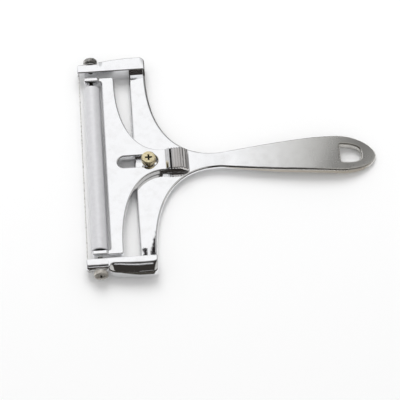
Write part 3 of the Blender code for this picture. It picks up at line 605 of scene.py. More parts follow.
def frame_casting(material):
    """Web, legs, arms, boss and handle, cast in one piece."""
    base = rounded_plate(frame_outline(), [hang_hole()], -WEB_THICKNESS, 0.0,
                         WEB_RIM_RADIUS, WEB_RIM_RADIUS)
    slice_at(base, spread(HANDLE_ROOT_X, HANDLE_END_X, HANDLE_SLICES)[:-1], "X")
    slice_at(base, spread(-HANDLE_HALF_WIDTH, HANDLE_HALF_WIDTH, CROWN_SLICES)[1:-1], "Y")
    reshape(base, handle_rule)
    steps = []
    for side in (RIGHT, LEFT):
        steps += [("UNION", arm(side)), ("UNION", leg_wedge(side))]
    boss = cylinder(BOSS_RADIUS, -WEB_THICKNESS / 2, BOSS_TOP_Z, SCREW_SIDES)
    hole = cylinder(LOCK_SHANK_RADIUS + SEAT_GAP, -WEB_THICKNESS - OVERRUN,
                    BOSS_TOP_Z + OVERRUN, SCREW_SIDES)
    steps += [("UNION", boss), ("DIFFERENCE", hole)]
    depth = WIRE_SCREW_LENGTH - (WIRE_SCREW_HEAD_Y - TIP_OUTER_Y) + SEAT_GAP
    for side in (RIGHT, LEFT):
        hole = cylinder(WIRE_SCREW_SHANK_RADIUS + SEAT_GAP, -depth, OVERRUN, SCREW_SIDES)
        steps.append(("DIFFERENCE", hole,
                      at(WIRE_SCREW_X, side * TIP_OUTER_Y, WIRE_Z, -side * math.pi / 2)))
    reach, height = TIP_OUTER_Y + OVERRUN, WIRE_RADIUS + SEAT_GAP
    mouth, bottom = ARM_FRONT_X - OVERRUN, ARM_FRONT_X + NOTCH_DEPTH
    notch = filleted([(mouth, WIRE_Z - height, 0.0), (bottom, WIRE_Z - height, height),
                      (bottom, WIRE_Z + height, height), (mouth, WIRE_Z + height, 0.0)])
    notches = prism(without_repeats(notch), -reach, reach)
    steps.append(("DIFFERENCE", notches, Matrix.Rotation(math.pi / 2, 4, "X")))
    finish_piece("cast_frame", carve(base, steps), Matrix.Identity(4), material,
                 "frame", "frame_with_handle")


# Carriage

def carriage_outline():
    """T shape with an ear at each end, seen from above, counter-clockwise from the grip."""
    curve = quarter((STEM_CURVE_X, EAR_INNER_Y),
                    (BAR_REAR_X - STEM_CURVE_X, STEM_HALF_WIDTH - EAR_INNER_Y),
                    STEM_POWER, CURVE_STEPS)
    half = [(STEM_END_X, STEM_HALF_WIDTH, STEM_CORNER_RADIUS),
            *((p.x, p.y, 0.0) for p in curve[:-1]),
            (BAR_REAR_X, EAR_OUTER_Y, BAR_CORNER_RADIUS),
            (EAR_FRONT_X, EAR_OUTER_Y, EAR_CORNER_RADIUS),
            (EAR_FRONT_X, EAR_INNER_Y, EAR_CORNER_RADIUS),
            (BAR_FRONT_X, EAR_INNER_Y, EAR_CORNER_RADIUS)]
    return filleted(half + mirrored_corners(half))


def slot_outline():
    """Long hole for the boss, with round ends, clockwise."""
    front, rear = SLOT_FRONT_X + SLOT_HALF_WIDTH, SLOT_REAR_X - SLOT_HALF_WIDTH
    points = []
    for centre, start in ((front, -math.pi / 2), (rear, math.pi / 2)):
        for a in spread(start, start - math.pi, 2 * HOLE_STEPS):
            points.append(Vector((centre + SLOT_HALF_WIDTH * math.cos(a),
                                  SLOT_HALF_WIDTH * math.sin(a))))
    return points


def carriage_top(x):
    """Height of the carriage's top along its stem: flat, a rise, a groove and falling ribs."""
    rise = smooth((x - NECK_RISE_X) / (GRIP_FRONT_X - RIB_PITCH / 2 - NECK_RISE_X))
    height = between(CARRIAGE_TOP_Z, GRIP_TOP_Z, rise)
    fall = clamp((x - GRIP_FALL_X) / (STEM_END_X - GRIP_FALL_X))
    height -= (GRIP_TOP_Z - GRIP_END_Z) * fall ** 2
    rib_share = (x - GRIP_FRONT_X) / RIB_PITCH
    if -1 / 2 <= rib_share <= RIB_COUNT:
        depth = RIB_DEPTH + GRIP_GROOVE_DEPTH * (rib_share < 1 / 2)
        height -= depth * (1.0 + math.cos(2 * math.pi * rib_share)) / 2
    return height


def carriage_rule(point):
    """Deepens the ears and raises the neck and the ribbed grip of the flat plate."""
    above = point.z - CARRIAGE_UNDERSIDE_Z
    if point.x < EAR_REAR_X:
        ramp = smooth((EAR_REAR_X - point.x) / EAR_RAMP_LENGTH)
        low = CARRIAGE_TOP_Z - between(CARRIAGE_THICKNESS, EAR_DEPTH, ramp)
        high = CARRIAGE_TOP_Z + EAR_RISE * ramp
        height = between(low, high, above / CARRIAGE_THICKNESS)
    else:
        grown = (carriage_top(point.x) - CARRIAGE_UNDERSIDE_Z) / CARRIAGE_THICKNESS
        height = CARRIAGE_UNDERSIDE_Z + above * grown
    return Vector((point.x, point.y, height))


def carriage(material):
    """Sliding casting with the slot, two ears for the axle and a ribbed thumb grip."""
    base = rounded_plate(carriage_outline(), [slot_outline()], CARRIAGE_UNDERSIDE_Z,
                         CARRIAGE_TOP_Z, CARRIAGE_UNDER_RIM_RADIUS, CARRIAGE_TOP_RIM_RADIUS)
    ramp = spread(EAR_REAR_X - EAR_RAMP_LENGTH, EAR_REAR_X, RAMP_SLICES)
    neck = spread(NECK_RISE_X, GRIP_FRONT_X - RIB_PITCH / 2, NECK_SLICES)[:-1]
    grip_end = GRIP_FRONT_X + RIB_PITCH * RIB_COUNT
    ribs = spread(GRIP_FRONT_X - RIB_PITCH / 2, grip_end, (2 * RIB_COUNT + 1) * RIB_SLICES // 2 + 1)
    slice_at(base, [*ramp, *neck, *ribs], "X")
    reshape(base, carriage_rule)
    reach = EAR_OUTER_Y + OVERRUN
    holes = cylinder(AXLE_RADIUS + SEAT_GAP, -reach, reach, SCREW_SIDES)
    mesh = carve(base, [("DIFFERENCE", holes, at(ROLLER_X, 0.0, ROLLER_Z, math.pi / 2))])
    finish_piece("cast_carriage", mesh, Matrix.Identity(4), material,
                 "carriage", "roller_carriage")


# Roller

def roller(tube_material, bush_material, axle_material):
    """Tube on two bushes that turn on an axle held in the carriage's ears."""
    inner, half, rim = ROLLER_RADIUS - ROLLER_WALL, ROLLER_HALF_LENGTH, ROLLER_RIM
    tube = hollow((inner, ROLLER_RADIUS), (-half, half), (rim / 2, rim), ROLLER_SIDES)
    finish_piece("roller_sleeve", tube, at(ROLLER_X, ROLLER_SHIFT_Y, ROLLER_Z, math.pi / 2),
                 tube_material, "roller", "roller_tube")
    for side, word in ((RIGHT, "right"), (LEFT, "left")):
        bush = hollow((AXLE_RADIUS + SEAT_GAP, inner - SEAT_GAP),
                      (half - BUSH_DEPTH, half - BUSH_INSET), (rim / 2, rim), SCREW_SIDES)
        facing = at(ROLLER_X, ROLLER_SHIFT_Y, ROLLER_Z, -side * math.pi / 2)
        finish_piece(f"end_bush_{word}", bush, facing, bush_material,
                     "roller", f"roller_bush_{word}")
    end = EAR_OUTER_Y - SEAT_GAP
    tips = [(p.x, p.y) for p in filleted([(0.0, end, 0.0), (AXLE_RADIUS, end, rim),
                                          (AXLE_RADIUS, -end, rim), (0.0, -end, 0.0)])]
    finish_piece("axle_rod", mesh_from("axle", turned(tips, SCREW_SIDES)),
                 at(ROLLER_X, 0.0, ROLLER_Z, math.pi / 2), axle_material,
                 "carriage", "roller_axle")


# Screws, washer and wire

def cross_recess(length, depth):
    """Tapering cross that a screwdriver fits, its mouth at height zero and above."""
    arm_length, width = length / 2, length * RECESS_WIDTH_SHARE / 2
    plan = []
    for quadrant in range(4):
        turn = Matrix.Rotation(quadrant * math.pi / 2, 2)
        for corner in ((arm_length, -width), (arm_length, width), (width, width)):
            plan.append(turn @ Vector(corner))
    levels = ((RECESS_TAPER_SHARE, -depth), (1.0, 0.0), (1.0, OVERRUN))
    return lofted([[(p.x * share, p.y * share, height) for p in plan]
                   for share, height in levels])


def threaded_shank(radius, length):
    """Profile of a shank from its tip up to the head, with the crests of its thread."""
    profile = [(0.0, -length), (radius - THREAD_DEPTH, -length)]
    turns = int(length / THREAD_PITCH)
    for i in range(turns):
        crest = -length + THREAD_PITCH * (i + 1 / 2)
        profile += [(radius, crest), (radius - THREAD_DEPTH, crest + THREAD_PITCH / 2)]
    profile.append((radius - THREAD_DEPTH, 0.0))
    return profile


def screw(name, material, node, shank, head, seat):
    """Pan-head screw with a (radius, length) shank, on a body that is named as its node."""
    head_radius, head_height, recess_length = head
    rim = head_height * HEAD_RIM_SHARE
    crown = filleted([(head_radius, 0.0, rim / 4), (head_radius, head_height, rim),
                      (0.0, head_height, 0.0)])
    profile = threaded_shank(*shank) + [(p.x, p.y) for p in crown]
    recess = cross_recess(recess_length, head_height * RECESS_DEPTH_SHARE)
    mesh = carve(turned(profile, SCREW_SIDES), [("DIFFERENCE", recess, at(0.0, 0.0, head_height))])
    finish_piece(name, mesh, seat, material, node, node, RECESS_EDGE_WIDTH)


def washer(material):
    rim = WASHER_THICKNESS / 4
    mesh = hollow((LOCK_SHANK_RADIUS + SEAT_GAP, WASHER_RADIUS), (0.0, WASHER_THICKNESS),
                  (rim, rim), SCREW_SIDES)
    finish_piece("plain_washer", mesh, at(0.0, 0.0, WASHER_UNDERSIDE_Z), material,
                 "lock_washer", "lock_washer")


def wire_half():
    """Points of the wire on the right, from its bend at the tip to the end of its eye."""
    corner = Vector((WIRE_X, WIRE_EYE_Y, WIRE_Z))
    reach = WIRE_SCREW_X - WIRE_X
    lift = math.asin(WIRE_EYE_RADIUS / reach)
    heading = Vector((math.cos(lift), 0.0, math.sin(lift)))
    outward = Vector((0.0, 1.0, 0.0))
    bend_centre = corner + (heading - outward) * WIRE_BEND_RADIUS
    points = []
    for a in spread(0.0, math.pi / 2, CORNER_STEPS + 1):
        spoke = outward * math.sin(a) - heading * math.cos(a)
        points.append(bend_centre + spoke * WIRE_BEND_RADIUS)
    first = math.pi / 2 + lift
    steps = round(WIRE_EYE_ANGLE / WIRE_STEP_ANGLE)
    for a in spread(first, first - WIRE_EYE_ANGLE, steps + 1):
        points.append(Vector((WIRE_SCREW_X + WIRE_EYE_RADIUS * math.cos(a), WIRE_EYE_Y,
                              WIRE_Z + WIRE_EYE_RADIUS * math.sin(a))))
    return points


def wire(material):
    """Steel wire from screw to screw, bent round both tips and taut between them."""
    right = wire_half()
    route = [Vector((p.x, -p.y, p.z)) for p in reversed(right)] + right
    curve = bpy.data.curves.new("taut_wire", "CURVE")
    curve.dimensions = "3D"
    curve.bevel_depth = WIRE_RADIUS
    curve.bevel_resolution = WIRE_BEVEL_RESOLUTION
    curve.use_fill_caps = True
    spline = curve.splines.new("POLY")
    spline.points.add(len(route) - 1)
    for target, point in zip(spline.points, route):
        target.co = (*(STANDING @ point), 1.0)
    curve.materials.append(material)
    thing = link("taut_wire", curve)
    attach(thing, "frame")
    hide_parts("cutting_wire")


# Materials

# Noises are (scale, detail, roughness), with one scale or one for each axis. Ranges are
# (low, high) or (low, high, to_low, to_high). Bumps are (distance, strength), and colour pairs
# go from clean to marked.
FALLING = (1.0, 0.0)
PLATING = ((0.93, 0.935, 0.95), (0.88, 0.88, 0.89))
PLATING_WAVES = (60.0, 2.0)
PLATING_STAINS = (210.0, 4.0)
PLATING_STAINED = (0.45, 0.75)
PLATING_ROUGHNESS = (0.3, 0.8, 0.04, 0.10)
HAIRS_ALONG = ((120.0, 5200.0, 900.0), 2.0)
HAIRS_ACROSS = ((4200.0, 160.0, 900.0), 2.0)
SCRATCHED = (0.66, 0.76)
SCRATCH_ROUGHNESS = 0.08
WAVE_BUMP = (0.0004, 0.25)
HAIR_BUMP = (0.000004, 0.5)
# The handle's satin end: rougher, and darker in colour, which is partly painted shade
SATIN_AND_SHADE_PLACES = (0.045, 0.105)
SATIN_AND_SHADE_COLOUR = (0.69, 0.68, 0.65)
SATIN_ROUGHNESS = 0.22
# Painted shade in the groove before the carriage's ribs
GROOVE_PLACES = (0.0110, 0.0113)
GROOVE_END_PLACES = (0.0119, 0.0122)
GROOVE_HEIGHTS = (0.0038, 0.0045)
GROOVE_PATCHES = (0.3, 0.6, 0.75, 1.0)
GROOVE_PAINTED_SHADE = (0.035, 0.033, 0.032)
WORN_PLACES = (0.0116, 0.0126)
WORN_PATCHES = (0.3, 0.6, 0.5, 1.0)
WORN_COLOUR = (0.70, 0.68, 0.67)
SLEEVE = ((0.81, 0.81, 0.83), (0.75, 0.75, 0.77))
SLEEVE_METALLIC = 0.5
SLEEVE_RINGS = ((40.0, 40.0, 5200.0), 3.0)
SLEEVE_MARKS = (420.0, 4.0, 0.6)
SLEEVE_MARKED = (0.35, 0.75)
SLEEVE_ROUGHNESS = (0.3, 0.7, 0.45, 0.56)
SLEEVE_RING_BUMP = (0.00001, 0.4)
SLEEVE_MARK_BUMP = (0.00001, 0.2)
STEEL = ((0.48, 0.47, 0.45), (0.30, 0.29, 0.27))
# Lighter, less metallic copy of the steel for the near, left screw: painted light
LIGHTER_PAINTED_STEEL = ((0.64, 0.61, 0.56), (0.36, 0.33, 0.29))
LIGHTER_PAINTED_STEEL_METALLIC = 0.6
WIRE_STEEL = ((0.72, 0.71, 0.69), (0.58, 0.57, 0.55))
WIRE_METALLIC = 0.5
BRASS = ((0.86, 0.77, 0.52), (0.70, 0.58, 0.33))
TURNING_RINGS = ((300.0, 300.0, 7000.0), 2.0)
HANDLING_MARKS = (900.0, 4.0, 0.6)
HANDLED = (0.4, 0.7)
TURNED_ROUGHNESS = (0.3, 0.7, 0.22, 0.38)
TURNING_BUMP = (0.000008, 0.5)
HANDLING_BUMP = (0.00001, 0.3)
# Painted shade in the screws' cross recesses
RECESS_PAINTED_SHADE = (0.03, 0.028, 0.022)
RECESS_PAINTED_SHADE_SHARES = (1.02, 1.1)
RECESS_PAINTED_SHADE_DEPTHS = (0.0002, 0.0006)
PLASTIC = ((0.055, 0.055, 0.055), (0.10, 0.10, 0.095))
PLASTIC_GRAIN = (2600.0, 4.0, 0.6)
PLASTIC_RUBS = (500.0, 2.0)
PLASTIC_RUBBED = (0.45, 0.7)
PLASTIC_ROUGHNESS = (0.3, 0.7, 0.42, 0.6)
PLASTIC_BUMP = (0.00002, 0.35)


class Nodes:
    """Short names for adding and joining shader nodes."""

    def __init__(self, name):
        self.material = bpy.data.materials.new(name)
        self.material.use_nodes = True
        self.tree = self.material.node_tree
        self.shader = self.tree.nodes["Principled BSDF"]
        self.coords = self.add("ShaderNodeTexCoord").outputs["Object"]

    def add(self, kind, **settings):
        node = self.tree.nodes.new(kind)
        for key, value in settings.items():
            if key in node.inputs:
                node.inputs[key].default_value = value
            else:
                setattr(node, key, value)
        return node

    def join(self, output, socket):
        self.tree.links.new(output, socket)

    def stretched(self, x, y, z):
        """Object coordinates scaled by axis, for streaks and grain."""
        mapping = self.add("ShaderNodeMapping")
        mapping.inputs["Scale"].default_value = (x, y, z)
        self.join(self.coords, mapping.inputs["Vector"])
        return mapping.outputs["Vector"]

    def noise(self, scale, detail, roughness=0.5):
        vector = self.coords
        if isinstance(scale, tuple):
            vector, scale = self.stretched(*scale), 1.0
        node = self.add("ShaderNodeTexNoise", Scale=scale, Detail=detail, Roughness=roughness)
        self.join(vector, node.inputs["Vector"])
        return node.outputs["Fac"]

    def ramp(self, value, stops):
        """Grey ramp through (position, light) stops."""
        node = self.add("ShaderNodeValToRGB")
        elements = node.color_ramp.elements
        while len(elements) < len(stops):
            elements.new(0.5)
        for element, (position, light) in zip(elements, stops):
            element.position = position
            element.color = (light, light, light, 1.0)
        self.join(value, node.inputs["Fac"])
        return node.outputs["Color"]

    def map_range(self, value, low, high, to_low=0.0, to_high=1.0):
        node = self.add("ShaderNodeMapRange")
        for socket, number in zip(node.inputs[1:5], (low, high, to_low, to_high)):
            socket.default_value = number
        self.join(value, node.inputs["Value"])
        return node.outputs["Result"]

    def soft_range(self, value, low, high, to_low=0.0, to_high=1.0):
        result = self.map_range(value, low, high, to_low, to_high)
        result.node.interpolation_type = "SMOOTHSTEP"
        return result

    def math(self, operation, *values):
        node = self.add("ShaderNodeMath", operation=operation)
        for socket, value in zip(node.inputs, values):
            if isinstance(value, float):
                socket.default_value = value
            else:
                self.join(value, socket)
        return node.outputs["Value"]

    def product(self, first, *others):
        for other in others:
            first = self.math("MULTIPLY", first, other)
        return first

    def distance(self, value, middle):
        return self.math("ABSOLUTE", self.math("SUBTRACT", value, middle))

    def mix(self, share, first, second):
        node = self.add("ShaderNodeMix", data_type="RGBA")
        self.join(share, node.inputs["Factor"])
        for name, colour in (("A", first), ("B", second)):
            socket = [s for s in node.inputs if s.name == name and s.type == "RGBA"][0]
            if isinstance(colour, tuple):
                socket.default_value = (*colour, 1.0)
            else:
                self.join(colour, socket)
        return [s for s in node.outputs if s.type == "RGBA"][0]

    def axis(self, name):
        node = self.add("ShaderNodeSeparateXYZ")
        self.join(self.coords, node.inputs["Vector"])
        return node.outputs[name]

    def bump(self, *layers):
        """Bump from (height, distance, strength) layers, joined in a chain."""
        normal = None
        for height, distance, strength in layers:
            node = self.add("ShaderNodeBump", Distance=distance, Strength=strength)
            self.join(height, node.inputs["Height"])
            if normal:
                self.join(normal, node.inputs["Normal"])
            normal = node.outputs["Normal"]
        self.join(normal, self.shader.inputs["Normal"])

    def surface(self, colour, roughness, metallic=1.0):
        self.shader.inputs["Metallic"].default_value = metallic
        for socket, value in (("Base Color", colour), ("Roughness", roughness)):
            self.join(value, self.shader.inputs[socket])

    def glow(self, colour):
        """Makes the material shine by itself and reflect nothing."""
        light = self.add("ShaderNodeEmission")
        self.join(colour, light.inputs["Color"])
        self.join(light.outputs[0], self.tree.nodes["Material Output"].inputs["Surface"])
        self.tree.nodes.remove(self.shader)


def chrome(name, groove=False):
    """Polished plating on a casting: slow waves, hairline scratches, satin end of the handle,
    rougher and darker in colour, its darker colour partly painted shade.

    The groove is the one before the carriage's ribs, darkened in colour as painted shade, and
    the grip behind it is a little worn.
    """
    m = Nodes(name)
    waves = m.noise(*PLATING_WAVES)
    stains = m.noise(*PLATING_STAINS)
    hairs = m.math("MAXIMUM", m.noise(*HAIRS_ALONG), m.noise(*HAIRS_ACROSS))
    # The satin end of the handle: rougher, and darker in colour as partly painted shade
    satin = m.map_range(m.axis("X"), *SATIN_AND_SHADE_PLACES)
    colour = m.mix(m.map_range(stains, *PLATING_STAINED), *PLATING)
    colour = m.mix(satin, colour, SATIN_AND_SHADE_COLOUR)
    if groove:
        # Painted shade: the groove before the ribs is darkened in colour where shade falls in it
        painted_shade = m.product(m.map_range(m.axis("X"), *GROOVE_PLACES),
                          m.map_range(m.axis("X"), *GROOVE_END_PLACES, *FALLING),
                          m.map_range(m.axis("Z"), *GROOVE_HEIGHTS),
                          m.map_range(stains, *GROOVE_PATCHES))
        colour = m.mix(painted_shade, colour, GROOVE_PAINTED_SHADE)
        worn = m.product(m.map_range(m.axis("X"), *WORN_PLACES),
                         m.map_range(waves, *WORN_PATCHES))
        colour = m.mix(worn, colour, WORN_COLOUR)
    scratches = m.product(m.map_range(hairs, *SCRATCHED), SCRATCH_ROUGHNESS)
    rough = m.math("ADD", m.map_range(stains, *PLATING_ROUGHNESS), scratches)
    rough = m.math("ADD", rough, m.product(satin, SATIN_ROUGHNESS))
    m.surface(colour, rough)
    m.bump((waves, *WAVE_BUMP), (hairs, *HAIR_BUMP))
    return m.material


def satin_sleeve():
    """Anodised tube: fine rings from turning, with faint marks round it."""
    m = Nodes("satin_aluminium_sleeve")
    rings = m.noise(*SLEEVE_RINGS)
    marks = m.noise(*SLEEVE_MARKS)
    colour = m.mix(m.map_range(marks, *SLEEVE_MARKED), *SLEEVE)
    m.surface(colour, m.map_range(rings, *SLEEVE_ROUGHNESS), SLEEVE_METALLIC)
    m.bump((rings, *SLEEVE_RING_BUMP), (marks, *SLEEVE_MARK_BUMP))
    return m.material


def turned_metal(name, colours, head=None, metallic=1.0):
    """Metal of screws, axle and wire: turning rings, handling marks, painted shade in a recess."""
    m = Nodes(name)
    rings = m.noise(*TURNING_RINGS)
    marks = m.noise(*HANDLING_MARKS)
    colour = m.mix(m.map_range(marks, *HANDLED), *colours)
    if head:
        _, top, recess_length = head
        # Painted shade: the cross recess darkened in colour below its mouth, where shade falls in
        # it
        from_axis = m.add("ShaderNodeVectorMath", operation="LENGTH")
        m.join(m.stretched(1.0, 1.0, 0.0), from_axis.inputs[0])
        reach = [recess_length / 2 * share for share in RECESS_PAINTED_SHADE_SHARES]
        heights = [top - depth for depth in RECESS_PAINTED_SHADE_DEPTHS]
        painted_shade = m.product(m.map_range(from_axis.outputs["Value"], *reach, *FALLING),
                          m.map_range(m.axis("Z"), *heights))
        colour = m.mix(painted_shade, colour, RECESS_PAINTED_SHADE)
    m.surface(colour, m.map_range(marks, *TURNED_ROUGHNESS), metallic)
    m.bump((rings, *TURNING_BUMP), (marks, *HANDLING_BUMP))
    return m.material


def dark_plastic():
    """Moulded bushes: matte, slightly rough, a little greyer where they rub."""
    m = Nodes("dark_bush_plastic")
    grain = m.noise(*PLASTIC_GRAIN)
    rubbed = m.map_range(m.noise(*PLASTIC_RUBS), *PLASTIC_RUBBED)
    m.surface(m.mix(rubbed, *PLASTIC), m.map_range(grain, *PLASTIC_ROUGHNESS), 0.0)
    m.bump((grain, *PLASTIC_BUMP))
    return m.material


# Stage

FLOOR_SIZE = 6.0
FLOOR_COLOUR = (0.93, 0.93, 0.93, 1.0)
WORLD_LIGHT = 0.72
KEY_SIZE = 0.9
KEY_POWER = 9.6
KEY_PLACE = Vector((-0.08, 0.78, 1.15))
CLIP_START = 0.05
SURROUND_RADIUS = 8.0
SURROUND_SIDES = 64
# Light of the wall round the set, by bearing in degrees from +X
WALL_LIGHT = ((-180, 0.7), (-165, 0.35), (-150, 0.03), (-35, 0.03), (-5, 0.10), (8, 0.40),
              (30, 0.50), (36, 0.42), (41, 0.12), (47, 0.13), (54, 0.30), (59, 0.46),
              (65, 0.56), (72, 0.67), (78, 0.67), (82.6, 0.66), (84.2, 0.82), (87, 0.86),
              (89, 1.0), (112, 1.0), (130, 0.62), (155, 0.55), (168, 0.8), (176, 0.8),
              (180, 0.7))
# Lamps and cards over the set, by angle from the right-hand horizon over to the left-hand one
# and by share of a direction that is along X
WALL_TOP_ANGLES = (math.radians(77), math.radians(80))
DARK_ROOM = (0.037, 0.033, 0.030)
STRIP_ANGLE = math.radians(85.5)
STRIP_EDGE_ANGLES = (math.radians(0.6), math.radians(1.8))
STRIP_END_SHARES = (-0.046, -0.028)
STRIP_LIGHT = (0.9, 0.9, 0.92)
LAMP_SIDE_SHARES = (0.08, 0.14)
LAMP_END_ANGLES = (math.radians(125), math.radians(127))
LAMP_LIGHT = (0.55, 0.54, 0.52)
LOW_CARD_ANGLE = math.radians(112)
LOW_CARD_EDGE_ANGLES = (math.radians(3.0), math.radians(4.5))
LOW_CARD_SHARE = -0.026
LOW_CARD_END_SHARES = (0.035, 0.05)
LOW_CARD_LIGHT = (0.95, 0.95, 0.95)
# Sheets on the floor that glow and that only polished metal shows: painted dark and beige
# reflections. By name, two opposite corners and colour
DARK_SHEET_GLOW = (0.05, 0.047, 0.04)
BEIGE_SHEET_GLOW = (0.40, 0.37, 0.33)
FLOOR_GLOW_SHEETS = (("glow_sheet_beside_left_arm", (-0.20, -0.40), (0.20, -0.0690), DARK_SHEET_GLOW),
          ("glow_sheet_behind_right_arm", (-0.085, 0.0680), (0.30, 0.40), DARK_SHEET_GLOW),
          ("glow_sheet_behind_handle", (-0.048, 0.0135), (0.30, 0.0680), DARK_SHEET_GLOW),
          ("glow_sheet_beside_handle", (-0.004, -0.030), (0.14, -0.0085), BEIGE_SHEET_GLOW))
SHEET_HEIGHT = 0.0004
SHEET_WEAVE = (900.0, 3.0)
SHEET_WEAVE_SHARE = 1.4
# Dark flags hung over the set, glowing faintly: painted dark reflections on the left leg. By
# name and by the places on top of the left leg that mirror their corners to the camera, in the
# casting's frame
FLAG_DISTANCE = 0.035
FLAG_SHADE = (0.012, 0.010, 0.011)
FLAGS = (("flag_for_edge_of_leg",
          ((0.0008, -0.0412), (0.0009, -0.0430), (0.0004, -0.0446), (-0.0005, -0.0457),
           (-0.0003, -0.0471), (-0.0013, -0.0481), (-0.0009, -0.0494), (-0.0021, -0.0504),
           (-0.0015, -0.0513), (-0.0029, -0.0521), (-0.0022, -0.0531), (-0.0028, -0.0548),
           (0.0012, -0.0550), (0.0019, -0.0439), (0.0017, -0.0413))),
         ("flag_for_front_of_leg",
          ((-0.0070, -0.0505), (-0.0057, -0.0502), (-0.0041, -0.0505), (-0.0044, -0.0520),
           (-0.0042, -0.0536), (-0.0058, -0.0538), (-0.0064, -0.0524), (-0.0071, -0.0518))))


def stage_floor():
    bm = bmesh.new()
    bmesh.ops.create_grid(bm, x_segments=1, y_segments=1, size=FLOOR_SIZE / 2)
    floor = link("floor", mesh_from("floor", bm))
    m = Nodes("studio_floor")
    m.shader.inputs["Base Color"].default_value = FLOOR_COLOUR
    m.shader.inputs["Specular IOR Level"].default_value = 0.0
    m.shader.inputs["Roughness"].default_value = 1.0
    floor.data.materials.append(m.material)


def stage_for_metal(name, bm, material):
    """Part of the set that only polished metal shows."""
    thing = link(name, mesh_from(name, bm))
    thing.data.materials.append(material)
    for sight in ("camera", "diffuse", "transmission", "volume_scatter", "shadow"):
        setattr(thing, f"visible_{sight}", False)


def surround_material():
    """A white wall behind the set, dim sides, and darkness with a few lamps and cards above."""
    m = Nodes("studio_surround")
    direction = m.add("ShaderNodeVectorMath", operation="NORMALIZE")
    m.join(m.coords, direction.inputs[0])
    parts = m.add("ShaderNodeSeparateXYZ")
    m.join(direction.outputs[0], parts.inputs[0])
    x, y, z = parts.outputs
    bearing = m.math("ARCTAN2", y, x)
    over = m.math("ARCTAN2", z, y)
    walls = m.ramp(m.map_range(bearing, -math.pi, math.pi),
                   [((degrees + 180) / 360, light) for degrees, light in WALL_LIGHT])
    above = m.soft_range(over, *WALL_TOP_ANGLES)
    lamp = m.product(above, m.soft_range(over, *LAMP_END_ANGLES, *FALLING),
                     m.soft_range(x, *LAMP_SIDE_SHARES))
    from_strip = m.distance(over, STRIP_ANGLE)
    strip = m.product(m.soft_range(from_strip, *STRIP_EDGE_ANGLES, *FALLING),
                      m.soft_range(x, *STRIP_END_SHARES, *FALLING))
    from_card = m.distance(over, LOW_CARD_ANGLE)
    from_card_middle = m.distance(x, LOW_CARD_SHARE)
    card = m.product(m.soft_range(from_card, *LOW_CARD_EDGE_ANGLES, *FALLING),
                     m.soft_range(from_card_middle, *LOW_CARD_END_SHARES, *FALLING))
    light = m.mix(above, walls, DARK_ROOM)
    for share, colour in ((lamp, LAMP_LIGHT), (strip, STRIP_LIGHT), (card, LOW_CARD_LIGHT)):
        light = m.mix(share, light, colour)
    m.glow(light)
    return m.material


def studio_surround():
    """Dome round the set, for polished metal to mirror."""
    rounds = spread(0.0, math.pi / 2, SURROUND_SIDES // 4)[:-1]
    profile = [(SURROUND_RADIUS * math.cos(a), SURROUND_RADIUS * math.sin(a)) for a in rounds]
    dome = turned([*profile, (0.0, SURROUND_RADIUS)], SURROUND_SIDES)
    stage_for_metal("studio_surround", dome, surround_material())


def glow_sheet(name, corners, colour):
    """Flat glowing sheet or flag, for polished metal to mirror as a painted reflection."""
    bm = bmesh.new()
    bm.faces.new([bm.verts.new(corner) for corner in corners])
    m = Nodes(name)
    lighter = tuple(light * SHEET_WEAVE_SHARE for light in colour)
    # The sheet glows with its own colour, a painted reflection in the metal
    m.glow(m.mix(m.noise(*SHEET_WEAVE), colour, lighter))
    stage_for_metal(name, bm, m.material)


def floor_glow_sheets():
    for name, (near_x, near_y), (far_x, far_y), colour in FLOOR_GLOW_SHEETS:
        corners = [(near_x, near_y), (far_x, near_y), (far_x, far_y), (near_x, far_y)]
        glow_sheet(name, [(x, y, SHEET_HEIGHT) for x, y in corners], colour)


def flags_over_set():
    """Dark glowing flags, placed where the left leg's top mirrors them: painted reflections."""
    eye = LOOK_AT + CAMERA_OFFSET
    upright = Vector((0.0, 0.0, 1.0))
    for name, outline in FLAGS:
        corners = []
        for x, y in outline:
            spot = Vector((x, y, 0.0))
            mirrored_sight = (spot - eye).normalized().reflect(upright)
            corners.append(STANDING @ (spot + mirrored_sight * FLAG_DISTANCE))
        glow_sheet(name, corners, FLAG_SHADE)


def key_light():
    lamp = bpy.data.lights.new("soft_key", "AREA")
    lamp.shape = "SQUARE"
    lamp.size = KEY_SIZE
    lamp.energy = KEY_POWER
    facing = (-KEY_PLACE).to_track_quat("-Z", "Y").to_matrix().to_4x4()
    key = link("soft_key", lamp, Matrix.Translation(KEY_PLACE) @ facing)
    key.visible_glossy = False


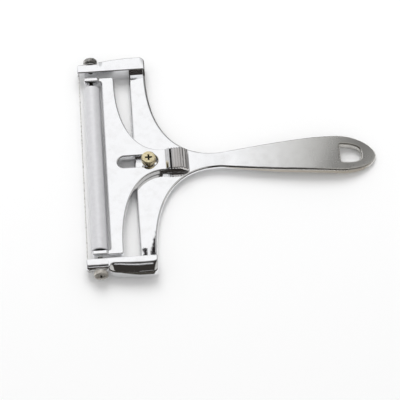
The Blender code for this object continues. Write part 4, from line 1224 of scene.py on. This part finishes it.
def white_world():
    """Plain light on the set, and full white for the camera, metal and glass."""
    world = bpy.data.worlds.new("white_studio")
    bpy.context.scene.world = world
    world.use_nodes = True
    nodes, links = world.node_tree.nodes, world.node_tree.links
    rays = nodes.new("ShaderNodeLightPath").outputs
    seen = rays["Is Camera Ray"]
    for ray in ("Is Glossy Ray", "Is Transmission Ray"):
        either = nodes.new("ShaderNodeMath")
        either.operation = "ADD"
        either.use_clamp = True
        links.new(seen, either.inputs[0])
        links.new(rays[ray], either.inputs[1])
        seen = either.outputs[0]
    strength = nodes.new("ShaderNodeMapRange")
    strength.inputs["To Min"].default_value = WORLD_LIGHT
    strength.inputs["To Max"].default_value = 1.0
    links.new(seen, strength.inputs["Value"])
    background = nodes["Background"]
    links.new(strength.outputs["Result"], background.inputs["Strength"])
    background.inputs["Color"].default_value = (1.0, 1.0, 1.0, 1.0)


def photo_camera():
    data = bpy.data.cameras.new("photo_camera")
    data.lens = LENS
    data.sensor_width = SENSOR_WIDTH
    data.clip_start = CLIP_START
    turn = STANDING.to_3x3()
    back = (turn @ CAMERA_OFFSET).normalized()
    right = (turn @ Vector((0.0, 0.0, 1.0))).cross(back).normalized()
    facing = Matrix((right, back.cross(right), back)).transposed().to_4x4()
    place = STANDING @ (LOOK_AT + CAMERA_OFFSET)
    camera = link("photo_camera", data, Matrix.Translation(place) @ facing)
    bpy.context.scene.camera = camera


def main():
    photo_camera()
    steel = turned_metal("grey_steel", STEEL, WIRE_SCREW_HEAD)
    steel_painted_lighter = turned_metal("steel_painted_lighter", LIGHTER_PAINTED_STEEL, WIRE_SCREW_HEAD, LIGHTER_PAINTED_STEEL_METALLIC)
    brass = turned_metal("brass", BRASS, LOCK_SCREW_HEAD)

    frame_casting(chrome("chrome_plating"))
    carriage(chrome("chrome_plating_of_carriage", groove=True))
    roller(satin_sleeve(), dark_plastic(), steel)
    wire(turned_metal("bright_wire_steel", WIRE_STEEL, metallic=WIRE_METALLIC))
    washer(brass)
    screw("brass_lock_screw", brass, "lock_screw",
          (LOCK_SHANK_RADIUS, LOCK_HEAD_UNDERSIDE_Z - LOCK_SCREW_END_Z), LOCK_SCREW_HEAD,
          at(0.0, 0.0, LOCK_HEAD_UNDERSIDE_Z))
    # Painted light: the near, left screw takes a lighter copy of the steel than the far one
    for side, word, metal in ((RIGHT, "right", steel), (LEFT, "left", steel_painted_lighter)):
        screw(f"pan_head_screw_{word}", metal, f"wire_screw_{word}",
              (WIRE_SCREW_SHANK_RADIUS, WIRE_SCREW_LENGTH), WIRE_SCREW_HEAD,
              at(WIRE_SCREW_X, side * WIRE_SCREW_HEAD_Y, WIRE_Z, -side * math.pi / 2))

    stage_floor()
    studio_surround()
    floor_glow_sheets()
    flags_over_set()
    key_light()
    white_world()
    bpy.context.scene.view_settings.view_transform = "Standard"


main()
